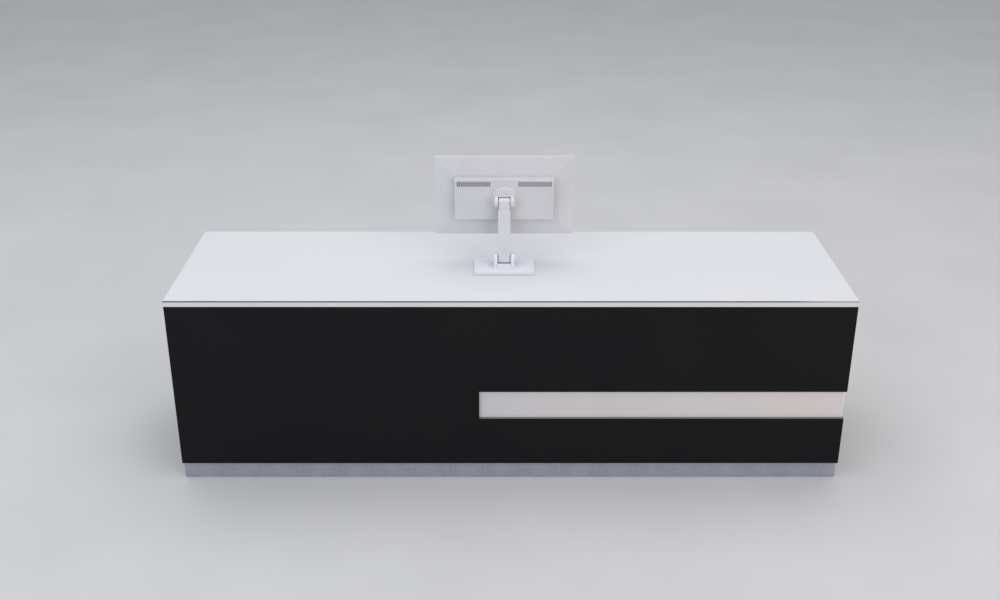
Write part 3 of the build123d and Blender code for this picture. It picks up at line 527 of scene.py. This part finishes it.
def finished(bm, name, body, material, *nodes, slot=None, place=None):
    """Turns a bmesh into a piece that rides on a body and stands for CAD nodes."""
    if place:
        bmesh.ops.transform(bm, matrix=place, verts=bm.verts)
    bmesh.ops.recalc_face_normals(bm, faces=bm.faces)
    mesh = bpy.data.meshes.new(name)
    bm.to_mesh(mesh)
    bm.free()
    mesh.polygons.foreach_set("use_smooth", [True] * len(mesh.polygons))
    mesh.set_sharp_from_angle(angle=SHARP_ANGLE)
    mesh.materials.append(material)
    piece = bpy.data.objects.new(name, mesh)
    bpy.context.scene.collection.objects.link(piece)
    weights = piece.modifiers.new("flat_faces", "WEIGHTED_NORMAL")
    weights.weight = 100
    weights.keep_sharp = True
    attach(piece, body)
    if nodes:
        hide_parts(*nodes)
    return piece


def shells(node):
    """The boxes of a CAD node's separate solids, as pairs of corners."""
    bm = bmesh.new()
    bm.from_mesh(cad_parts[node].data)
    bmesh.ops.remove_doubles(bm, verts=bm.verts, dist=WELD)
    left, boxes = set(bm.verts), []
    while left:
        todo, group = [left.pop()], []
        while todo:
            vert = todo.pop()
            group.append(vert.co.copy())
            near = {e.other_vert(vert) for e in vert.link_edges} & left
            left -= near
            todo.extend(near)
        low = Vector(map(min, *group))
        high = Vector(map(max, *group))
        boxes.append((low, high))
    bm.free()
    return sorted(boxes, key=lambda box: tuple(box[0]))


def board(name, node, body, material, slot, width=0.5 * MM):
    """A finished board, or a set of them, in place of a CAD node."""
    bm = bmesh.new()
    for low, high in shells(node):
        block(bm, low, high, width)
    return finished(bm, name, body, material, node, slot=slot)


print("boards in the carcass bases", len(shells("cabinet_bases")))

# %% [markdown]
# ## The worktop
# The glass sheet has a ground arris all round, which is what catches the bright line along the
# rim, and the board under it has a banded edge with a softer corner.

# %% Worktop pieces
bm = bmesh.new()
block(bm, glass_low, glass_high, ARRIS, 2)
finished(bm, "worktop_glass_sheet", "counter", WHITE_GLASS, "worktop_glass", slot="white_glass")
board("worktop_core_board", "worktop_board", "counter", WHITE_LAMINATE, "white_laminate", 0.6 * MM)
print("worktop", [round(v, 3) for v in glass_high - glass_low])

# %% [markdown]
# ## The black cladding and the strip
# The front is one board with a long notch cut in from its right end. Its outline is drawn once,
# filled, and pulled back to the board's thickness. The strip is a bent sheet, so its outline is
# drawn from above and pulled up, and the bend at the corner gets a rounder edge than the rest.


# %% Cladding and strip
def pulled(bm, outline, along):
    """A face from outline points, extruded along a vector; returns the solid's edges."""
    near = [bm.verts.new(point) for point in outline]
    face = bm.faces.new(near)
    made = bmesh.ops.extrude_face_region(bm, geom=[face])["geom"]
    far = [v for v in made if isinstance(v, bmesh.types.BMVert)]
    bmesh.ops.translate(bm, vec=along, verts=far)
    bmesh.ops.recalc_face_normals(bm, faces=bm.faces)
    return list({e for v in near + far for e in v.link_edges})


bm = bmesh.new()
outline = [
    (clad_low.x, clad_low.z), (clad_high.x, clad_low.z),
    (clad_high.x, strip_low.z), (strip_low.x, strip_low.z),
    (strip_low.x, strip_high.z), (clad_high.x, strip_high.z),
    (clad_high.x, clad_high.z), (clad_low.x, clad_high.z),
]
pulled(bm, [(x, clad_low.y, z) for x, z in outline], (0, clad_high.y - clad_low.y, 0))
ease(bm, crisp_edges(bm.edges), 0.5 * MM)
finished(
    bm, "front_cladding_board", "counter", BLACK_PAINTED_LEDGE, "front_cladding", slot="black_laminate"
)

STRIP_T = 4 * MM
inner_x, inner_y = strip_high.x - STRIP_T, strip_low.y + STRIP_T
bm = bmesh.new()
outline = [
    (strip_low.x, strip_low.y), (strip_high.x, strip_low.y), (strip_high.x, strip_high.y),
    (inner_x, strip_high.y), (inner_x, inner_y), (strip_low.x, inner_y),
]
pulled(bm, [(x, y, strip_low.z) for x, y in outline], (0, 0, strip_high.z - strip_low.z))
bend = [e for e in bm.edges if all((v.co.xy - strip_corner).length < MM for v in e.verts)]
ease(bm, bend, 2.0 * MM, 5)
ease(bm, crisp_edges(bm.edges, 60.0), 0.3 * MM, 1)
finished(bm, "light_strip_bent", "counter", STRIP_SKIN, "light_strip", slot="strip_acrylic")

for node in ("left_cladding", "right_cladding_upper", "right_cladding_lower"):
    board(node + "_board", node, "counter", BLACK_LAMINATE, "black_laminate")
print("strip", [round(v, 3) for v in strip_high - strip_low])

# %% [markdown]
# ## The carcass and the plinth
# Behind the cladding the carcass is plain grey board. The boards that are drilled for shelf pins
# keep their CAD shape, because the holes are already right there, and only get the finish.

# %% Carcass boards
CARCASS = (
    "front_panel", "left_end_panel", "left_partition", "cabinet_bases", "worktop_rails",
    "cupboard_shelf",
)
for node in CARCASS:
    board(node + "_eased", node, "counter", CARCASS_BOARD, "carcass_board")
for node in ("plinth_front", "plinth_returns", "plinth_backs"):
    board(node + "_eased", node, "counter", PLINTH_LAMINATE, "plinth_laminate")


def paint(node, material):
    """Gives a CAD node that keeps its shape a better finish."""
    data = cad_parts[node].data
    data.materials.clear()
    data.materials.append(material)


for node in ("right_end_panel", "right_partition"):
    paint(node, CARCASS_BOARD)
for node in ("shelf_pins", "hinge_pins", "lock_barrel", "lock_plug"):
    paint(node, BRIGHT_STEEL)
for node in ("corner_brackets", "cabinet_runners"):
    paint(node, ZINC)
paint("base_pads", SOFT_RUBBER)
paint("door_hinge_frames", BRIGHT_STEEL)
print("carcass boards", sum(len(shells(node)) for node in CARCASS))

# %% [markdown]
# ## Drawers and doors
# The fronts are white boards inset between the carcass boards. Each handle is a bar on two posts,
# with a small collar where a post meets the front. A drawer's tray is folded from one sheet: a
# box without its lid, with its bends rounded first and its thickness added after.

# %% Drawers and doors
TRAY_SHEET = 2.0 * MM
TRAY_BEND = 3.5 * MM
FRONT_EDGE = 0.8 * MM
BAR_R = 5 * MM
POST_R = 4 * MM
POST_INSET = 12 * MM
COLLAR = (6.5 * MM, 1.6 * MM)


def folded_tray(name, node, body):
    """An open steel tray folded from one sheet, with rounded bends."""
    low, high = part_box(node)
    bm = bmesh.new()
    block(bm, low, high)
    lid = max(bm.faces, key=lambda face: face.calc_center_median().z)
    bmesh.ops.delete(bm, geom=[lid], context="FACES_ONLY")
    ease(bm, crisp_edges(bm.edges), TRAY_BEND, 4)
    bmesh.ops.recalc_face_normals(bm, faces=bm.faces)
    bmesh.ops.solidify(bm, geom=list(bm.faces), thickness=TRAY_SHEET)
    return finished(bm, name, body, TRAY_PAINT, node, slot="tray_paint")


def bar_handle(name, node, body, material):
    """A bar with rounded ends on two collared posts, along the longer way of its CAD node."""
    low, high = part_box(node)
    middle = (low + high) / 2
    upright = high.z - low.z > high.x - low.x
    step = Vector((0, 0, 1)) if upright else Vector((1, 0, 0))
    half = max(high.z - low.z, high.x - low.x) / 2
    bar = Vector((middle.x, high.y - BAR_R, middle.z))
    bm = bmesh.new()
    rod(bm, bar - step * half, bar + step * half, BAR_R, 1.0 * MM)
    for side in (-1, 1):
        foot = Vector((middle.x, low.y, middle.z)) + step * side * (half - POST_INSET)
        rod(bm, foot, (foot.x, bar.y, foot.z), POST_R)
        rod(bm, foot, (foot.x, foot.y + COLLAR[1], foot.z), COLLAR[0], 0.5 * MM)
    return finished(bm, name, body, material, node, slot="handle_steel")


for name in ("top", "middle", "bottom"):
    body = name + "_drawer"
    folded_tray(body + "_box", body + "_tray", body)
    bar_handle(body + "_bar", body + "_handle", body, HANDLE_STEEL)
    paint(body + "_runners", ZINC)
paint("top_drawer_front", FRONT_LAMINATE)
for body in ("middle_drawer", "bottom_drawer"):
    board(body + "_face", body + "_front", body, FRONT_LAMINATE, "front_laminate", FRONT_EDGE)
for door in ("left_door", "right_door"):
    body = door + "_leaf"
    board(door + "_board", door, body, FRONT_LAMINATE, "front_laminate", FRONT_EDGE)
    bar_handle(door + "_bar", door + "_handle", body, UPRIGHT_STEEL)
    paint(door + "_leaves", BRIGHT_STEEL)
drawer_low, drawer_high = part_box("top_drawer_front")
print("drawer front", [round(v, 4) for v in drawer_high - drawer_low])

# %% [markdown]
# ## Levelling feet
# A turned part is half a profile, spun once round. Each foot has a plate with a soft rim, a
# hexagonal nut and a stem with its thread, drawn as a row of small ridges.


# %% Turned feet
def turned(bm, profile, middle, axis="Z", steps=48):
    """Spins a profile of (radius, height) points round a Z or Y axis through a point."""
    verts = [bm.verts.new((radius, 0.0, height)) for radius, height in profile]
    edges = [bm.edges.new(pair) for pair in zip(verts, verts[1:])]
    made = bmesh.ops.spin(
        bm, geom=verts + edges, cent=(0, 0, 0), axis=(0, 0, 1), dvec=(0, 0, 0),
        angle=math.tau, steps=steps, use_merge=True, use_duplicate=False,
    )
    group = set(verts) | {v for v in made["geom_last"] if isinstance(v, bmesh.types.BMVert)}
    todo = list(group)
    while todo:
        vert = todo.pop()
        near = {e.other_vert(vert) for e in vert.link_edges} - group
        group |= near
        todo.extend(near)
    shape = list(group)
    if axis == "Y":
        quarter = Matrix.Rotation(math.radians(-90), 3, "X")
        bmesh.ops.rotate(bm, cent=(0, 0, 0), matrix=quarter, verts=shape)
    bmesh.ops.translate(bm, vec=middle, verts=shape)
    bmesh.ops.remove_doubles(bm, verts=shape, dist=WELD)


PLATE_TOP = 8 * MM
NUT_TOP = 15 * MM
NUT_R = 9 * MM
THREAD_ROOT = 4.3 * MM
THREAD_R = 5.0 * MM
PITCH = 1.5 * MM
STEM_END = 16 * MM
bm = bmesh.new()
for low, high in shells("levelling_feet"):
    middle = Vector(((low.x + high.x) / 2, (low.y + high.y) / 2, 0))
    radius, top = (high.x - low.x) / 2, high.z - low.z
    plate = [
        (0, 0), (radius - MM, 0), (radius, MM), (radius, PLATE_TOP - 1.5 * MM),
        (radius - 1.5 * MM, PLATE_TOP), (7 * MM, PLATE_TOP), (0, PLATE_TOP),
    ]
    turned(bm, plate, middle)
    thread = [(0, PLATE_TOP)]
    for turn in range(int((top - STEM_END) / PITCH)):
        base = PLATE_TOP + turn * PITCH
        thread += [(THREAD_ROOT, base), (THREAD_R, base + PITCH / 2)]
    thread += [(4.6 * MM, top - 0.6 * MM), (4.0 * MM, top), (0, top)]
    turned(bm, thread, middle, steps=20)
    rod(bm, (middle.x, middle.y, PLATE_TOP), (middle.x, middle.y, NUT_TOP), NUT_R, 0.7 * MM, 6)
finished(bm, "levelling_feet_turned", "counter", ZINC, "levelling_feet", slot="zinc_steel")
print("feet", len(shells("levelling_feet")))

# %% [markdown]
# ## Cable tray
# The cable tray is one folded sheet again. This time its L and lip are drawn as an outline and
# pulled along, and the bends are rounded, wider outside than inside.

# %% Folded cable tray
low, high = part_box("cable_tray")
SHEET = 2 * MM
front_top = low.z + 50 * MM
outline = [
    (low.y, high.z), (low.y, low.z), (high.y, low.z), (high.y, front_top),
    (high.y - SHEET, front_top), (high.y - SHEET, low.z + SHEET),
    (low.y + SHEET, low.z + SHEET), (low.y + SHEET, high.z),
]
bm = bmesh.new()
pulled(bm, [(low.x, y, z) for y, z in outline], (high.x - low.x, 0, 0))
for height, bend, steps in ((low.z, 3.0 * MM, 4), (low.z + SHEET, 1.0 * MM, 3)):
    lengthwise = [e for e in bm.edges if abs(e.verts[0].co.x - e.verts[1].co.x) > 0.1]
    ease(bm, [e for e in lengthwise if abs(e.verts[0].co.z - height) < 0.1 * MM], bend, steps)
finished(bm, "cable_tray_folded", "counter", TRAY_PAINT, "cable_tray", slot="tray_paint")
print("tray length", round(high.x - low.x, 3))

# %% [markdown]
# ## The stand's base plate
# Moulded parts have soft edges everywhere. The base plate is a stack of rounded outlines at rising
# heights, each drawn in a little further and bridged to the next, which makes its broad bevel.
# The two helpers for side outlines serve the rest of the stand as well.


# %% Base plate
def across(bm, outline, near, far, width, segments=3):
    """A solid from a side outline of (y, z) points between two x positions, edges rounded."""
    edges = pulled(bm, [(near, y, z) for y, z in outline], (far - near, 0, 0))
    ease(bm, crisp_edges(edges), width, segments)


def arc(middle, radius, start, stop, steps=16):
    """Points on an arc in a side outline; angles in degrees, 0 towards +Y and 90 up."""
    angles = [math.radians(start + (stop - start) * step / steps) for step in range(steps + 1)]
    return [(middle[0] + radius * math.cos(a), middle[1] + radius * math.sin(a)) for a in angles]


def rounded_ring(bm, low, high, z, inward, radius, steps=6):
    """A closed ring of edges: a rounded rectangle at one height, drawn in from a box's sides."""
    left, right = low.x + inward + radius, high.x - inward - radius
    near, far = low.y + inward + radius, high.y - inward - radius
    corners = ((right, far, 0), (left, far, 90), (left, near, 180), (right, near, 270))
    points = []
    for x, y, start in corners:
        points += arc((x, y), radius, start, start + 90, steps)
    verts = [bm.verts.new((x, y, z)) for x, y in points]
    return [bm.edges.new(pair) for pair in zip(verts, verts[1:] + verts[:1])]


stand_x = (base_low.x + base_high.x) / 2
STAND_Y = -36 * MM
LOWER_AXIS = (STAND_Y, 791 * MM)
UPPER_AXIS = (STAND_Y, 1016 * MM)
CORNER = 6 * MM
BASE_STACK = (
    (0.0, 0.6 * MM), (0.6 * MM, 0.0), (2.2 * MM, 0.0), (2.8 * MM, 0.3 * MM),
    (3.2 * MM, 1.2 * MM), (7.2 * MM, 15.2 * MM), (7.5 * MM, 17.0 * MM),
)

bm = bmesh.new()
rings = [
    rounded_ring(bm, base_low, base_high, base_low.z + height, inward, CORNER)
    for height, inward in BASE_STACK
]
for lower, upper in zip(rings, rings[1:]):
    bmesh.ops.bridge_loops(bm, edges=lower + upper)
for ring in (rings[0], rings[-1]):
    bmesh.ops.contextual_create(bm, geom=ring)
finished(bm, "display_base_plate", "counter", BASE_WHITE, "display_base", slot="display_white")

print("base plate", [round(v, 3) for v in base_high - base_low])

# %% [markdown]
# ## The lower yoke
# A thin disc lies on the plate and turns on it. It carries a raised step, a floor and two ears,
# which hold the neck's pin. The ears are drawn from the side: straight up, over a half circle and
# down again.

# %% Lower yoke
yoke_low, yoke_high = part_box("swivel_yoke")
disc_r = (yoke_high.x - yoke_low.x) / 2
DISC_LOW = 758.8 * MM
DISC_TOP = 761 * MM
STEP_R = 46 * MM
STEP_TOP = DISC_TOP + 1.2 * MM
YOKE_FLOOR_TOP = 771 * MM
YOKE_FLOOR_HALF = 30 * MM
EAR_R = 20 * MM
EAR_IN, EAR_OUT = 25.5 * MM, 39 * MM
YOKE_EDGE = 1.6 * MM
disc = [
    (0, DISC_LOW), (disc_r - 0.4 * MM, DISC_LOW), (disc_r, DISC_LOW + 0.4 * MM),
    (disc_r, DISC_TOP - 1.0 * MM), (disc_r - 0.3 * MM, DISC_TOP - 0.3 * MM),
    (disc_r - 1.0 * MM, DISC_TOP), (0, DISC_TOP),
]
step = [
    (0, DISC_TOP - MM), (STEP_R, DISC_TOP - MM), (STEP_R, DISC_TOP + 0.6 * MM),
    (STEP_R - 0.8 * MM, STEP_TOP), (0, STEP_TOP),
]
back, front = STAND_Y + EAR_R, STAND_Y - EAR_R
ear = [(back, DISC_TOP), *arc(LOWER_AXIS, EAR_R, 0, 180), (front, DISC_TOP)]
yoke_floor = [
    (front, DISC_TOP), (back, DISC_TOP), (back, YOKE_FLOOR_TOP), (front, YOKE_FLOOR_TOP),
]
bm = bmesh.new()
for profile in (disc, step):
    turned(bm, profile, (stand_x, STAND_Y, 0), steps=72)
for near, far in ((-EAR_OUT, -EAR_IN), (EAR_IN, EAR_OUT)):
    across(bm, ear, stand_x + near, stand_x + far, YOKE_EDGE)
across(bm, yoke_floor, stand_x - YOKE_FLOOR_HALF, stand_x + YOKE_FLOOR_HALF, YOKE_EDGE)
finished(
    bm, "swivel_yoke_moulded", "display_turntable", YOKE_WHITE, "swivel_yoke",
    slot="display_white",
)

print("yoke height", round(yoke_high.z - yoke_low.z, 3))

# %% [markdown]
# ## The neck
# The neck is a slim bar, round at its top and soft at its heel, inside a wider sleeve that covers
# most of it. A boss at each axis fills the gap between the bar and the ears. The bar is slightly
# thinner than the sleeve, so that no two faces lie in the same plane.

# %% Neck
NECK_HALF_T = 15 * MM
SLIM_HALF_T = NECK_HALF_T - 0.4 * MM
SLIM_HALF_W = 20.4 * MM
SLEEVE_HALF_W = 23.3 * MM
SLEEVE_LOW, SLEEVE_TOP = 812 * MM, 986 * MM
BOSS_R = 9 * MM
HEEL_R = 6 * MM
heel_z = LOWER_AXIS[1] - NECK_HALF_T + HEEL_R
heel_off = SLIM_HALF_T - HEEL_R
slim = [
    *arc(UPPER_AXIS, SLIM_HALF_T, 0, 180, 24),
    *arc((STAND_Y - heel_off, heel_z), HEEL_R, 180, 270, 6),
    *arc((STAND_Y + heel_off, heel_z), HEEL_R, 270, 360, 6),
]
bm = bmesh.new()
across(bm, slim, stand_x - SLIM_HALF_W, stand_x + SLIM_HALF_W, 1.5 * MM)
sleeve_low = (stand_x - SLEEVE_HALF_W, STAND_Y - NECK_HALF_T, SLEEVE_LOW)
sleeve_high = (stand_x + SLEEVE_HALF_W, STAND_Y + NECK_HALF_T, SLEEVE_TOP)
block(bm, sleeve_low, sleeve_high, 2.2 * MM, 4)
for axis, reach in ((LOWER_AXIS, 25.4 * MM), (UPPER_AXIS, 22.8 * MM)):
    rod(bm, (stand_x - reach, *axis), (stand_x + reach, *axis), BOSS_R, 0.4 * MM, 40)
finished(
    bm, "display_neck_moulded", "display_arm", STAND_WHITE, "display_neck", slot="display_white"
)
print("stand height", round(UPPER_AXIS[1] - base_low.z, 3))

# %% [markdown]
# ## The upper yoke
# The head leans back by four degrees. Its yoke is drawn upright about the tilt axis, in metres
# across, away from the neck and up, and one matrix leans the finished shape into place. It has
# a round disc and ring against the head, two ears, a hood over the neck and the pin's caps.

# %% Upper yoke
HEAD_LEAN = math.radians(4.0)
HEAD_PLACE = Matrix.Translation((stand_x, *UPPER_AXIS)) @ Matrix.Rotation(HEAD_LEAN, 4, "X")
DISC_FACE = 22 * MM
DISC_BACK = 28 * MM
DISC_R = 49 * MM
RING_R = 29 * MM
RING_FACE = 20.5 * MM
HEAD_EAR_R = 19.5 * MM
HEAD_EAR_IN, HEAD_EAR_OUT = 22.9 * MM, 37.5 * MM
HOOD_HALF = 26 * MM
HOOD_EDGE = 8 * MM
SLOT_R = 17 * MM
SLOT_BACK = 18 * MM
CAP_R = 6.5 * MM
ROOT = DISC_FACE + MM
mount_disc = [
    (0, DISC_BACK), (DISC_R, DISC_BACK), (DISC_R, DISC_FACE + 3.5 * MM),
    (DISC_R - 0.8 * MM, DISC_FACE + 1.6 * MM), (DISC_R - 2.4 * MM, DISC_FACE + 0.4 * MM),
    (DISC_R - 4.2 * MM, DISC_FACE), (0, DISC_FACE),
]
mount_ring = [
    (0, ROOT), (RING_R, ROOT), (RING_R, RING_FACE + 0.7 * MM),
    (RING_R - 0.7 * MM, RING_FACE), (0, RING_FACE),
]
ear = [(ROOT, HEAD_EAR_R), *arc((0, 0), HEAD_EAR_R, 90, 270), (ROOT, -HEAD_EAR_R)]
slot_start = math.degrees(math.acos(HOOD_EDGE / SLOT_R))
hood = [
    (ROOT, HEAD_EAR_R), (HOOD_EDGE, HEAD_EAR_R), *arc((0, 0), SLOT_R, slot_start, 0, 8),
    (SLOT_BACK, 0), (SLOT_BACK, -HEAD_EAR_R), (ROOT, -HEAD_EAR_R),
]
bm = bmesh.new()
turned(bm, mount_disc, (0, 0, 0), "Y", 72)
turned(bm, mount_ring, (0, 0, 0), "Y", 60)
for near, far in ((-HEAD_EAR_OUT, -HEAD_EAR_IN), (HEAD_EAR_IN, HEAD_EAR_OUT)):
    across(bm, ear, near, far, 1.8 * MM, 4)
across(bm, hood, -HOOD_HALF, HOOD_HALF, 0.8 * MM)
for side in (-1, 1):
    face = side * HEAD_EAR_OUT
    rod(bm, (face - side * 0.5 * MM, 0, 0), (face + side * 0.3 * MM, 0, 0), CAP_R, 0.3 * MM)
finished(
    bm, "mount_yoke_moulded", "display_head", STAND_WHITE, "mount_yoke",
    slot="display_white", place=HEAD_PLACE,
)

print("disc", round(2 * DISC_R, 3), "across the ears", round(2 * HEAD_EAR_OUT, 3))

# %% [markdown]
# ## The display head
# The vented housing, the shell with its key holes and the bezel keep the CAD's shape, where every
# slot is already cut, and get the moulded finish. The inside of the vents is measured from the
# tilt axis, in the head's own leaning directions.

# %% Head finishes
INSIDE = ((0.0, 184.8 * MM), (44.7 * MM, 16.0 * MM), (-4.75 * MM, 79.5 * MM))
VENTED_WHITE = vented_white(
    "vented_white", tone(199, 199, 203), tone(205, 205, 209), INSIDE,
    (stand_x, *UPPER_AXIS), HEAD_LEAN,
)
paint("vent_housing", VENTED_WHITE)
for node in ("rear_shell", "front_bezel"):
    paint(node, CASE_WHITE)
for node in ("power_key", "input_key", "up_key", "down_key", "menu_key"):
    paint(node, STAND_WHITE)
paint("lcd_panel", SCREEN_FILM)
paint("display_board", CIRCUIT_MASK)
screen_low, screen_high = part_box("lcd_panel")
print("screen", [round(v, 3) for v in screen_high - screen_low])

# %% [markdown]
# ## Studio
# A pale floor, one broad soft light overhead, a cooler one from the front left and a warmer one
# from the front right. Large lights give soft shadows and keep the reflections calm.

# %% Floor and lights
FLOOR_HALF = 30.0


def studio_floor():
    """A plain pale floor, faintly clouded."""
    finish = Finish("studio_floor", Roughness=0.85)
    cloud = finish.span(finish.noise(1.5), 0.0, 1.0)
    shades(finish, cloud, tone(205, 205, 206), tone(211, 211, 212))
    bm = bmesh.new()
    bmesh.ops.create_grid(bm, x_segments=1, y_segments=1, size=FLOOR_HALF)
    mesh = bpy.data.meshes.new("studio_floor")
    bm.to_mesh(mesh)
    bm.free()
    mesh.materials.append(finish.material)
    floor = bpy.data.objects.new("studio_floor", mesh)
    bpy.context.scene.collection.objects.link(floor)


def soft_light(name, place, aim, size, power, colour):
    """A broad area light at a place, turned towards an aim."""
    lamp = bpy.data.lights.new(name, "AREA")
    lamp.shape = "RECTANGLE"
    lamp.size, lamp.size_y = size
    lamp.energy = power
    lamp.color = colour
    light = bpy.data.objects.new(name, lamp)
    light.location = place
    light.rotation_euler = (Vector(aim) - Vector(place)).to_track_quat("-Z", "Y").to_euler()
    bpy.context.scene.collection.objects.link(light)


studio_floor()
soft_light("overhead_light", (0, 0.5, 7.0), (0, 0, 0.5), (9.0, 7.0), 245.0, (1.0, 1.0, 1.0))
soft_light("left_light", (-6.0, -8.0, 5.0), (0, 0, 0.5), (7.0, 7.0), 300.0, (0.8, 0.89, 1.0))
soft_light("right_light", (6.0, -8.0, 4.6), (0.3, 0, 0.4), (7.0, 7.0), 350.0, (1.0, 0.9, 0.83))

world = bpy.data.worlds.new("studio_air")
world.use_nodes = True
air = world.node_tree.nodes["Background"]
air.inputs["Color"].default_value = (0.88, 0.9, 0.94, 1.0)
air.inputs["Strength"].default_value = 0.55
bpy.context.scene.world = world
bpy.context.scene.view_settings.view_transform = "Standard"

print("lights", [light.name for light in bpy.data.lights])

# %% [markdown]
# ## Camera
# The camera stands in front of the counter, above head height, and looks down at it through a
# slightly long lens. Its turn is built from three simple ones, yaw, pitch and roll, in that order.

# %% Camera
CAMERA_PLACE = (-0.052, -4.300, 2.518)
CAMERA_PITCH = 24.058
CAMERA_YAW = 0.174
CAMERA_ROLL = 0.077
FOCAL_LENGTH = 43.456
lens = bpy.data.cameras.new("studio_camera")
lens.sensor_width = 36.0
lens.lens = FOCAL_LENGTH
camera = bpy.data.objects.new("studio_camera", lens)
turn = (
    Matrix.Rotation(math.radians(-CAMERA_YAW), 4, "Z")
    @ Matrix.Rotation(math.radians(90.0 - CAMERA_PITCH), 4, "X")
    @ Matrix.Rotation(math.radians(CAMERA_ROLL), 4, "Z")
)
camera.matrix_world = Matrix.Translation(CAMERA_PLACE) @ turn
bpy.context.scene.collection.objects.link(camera)
bpy.context.scene.camera = camera
print("camera height", CAMERA_PLACE[2], "focal length", FOCAL_LENGTH)

# %% [markdown]
# ## Finish
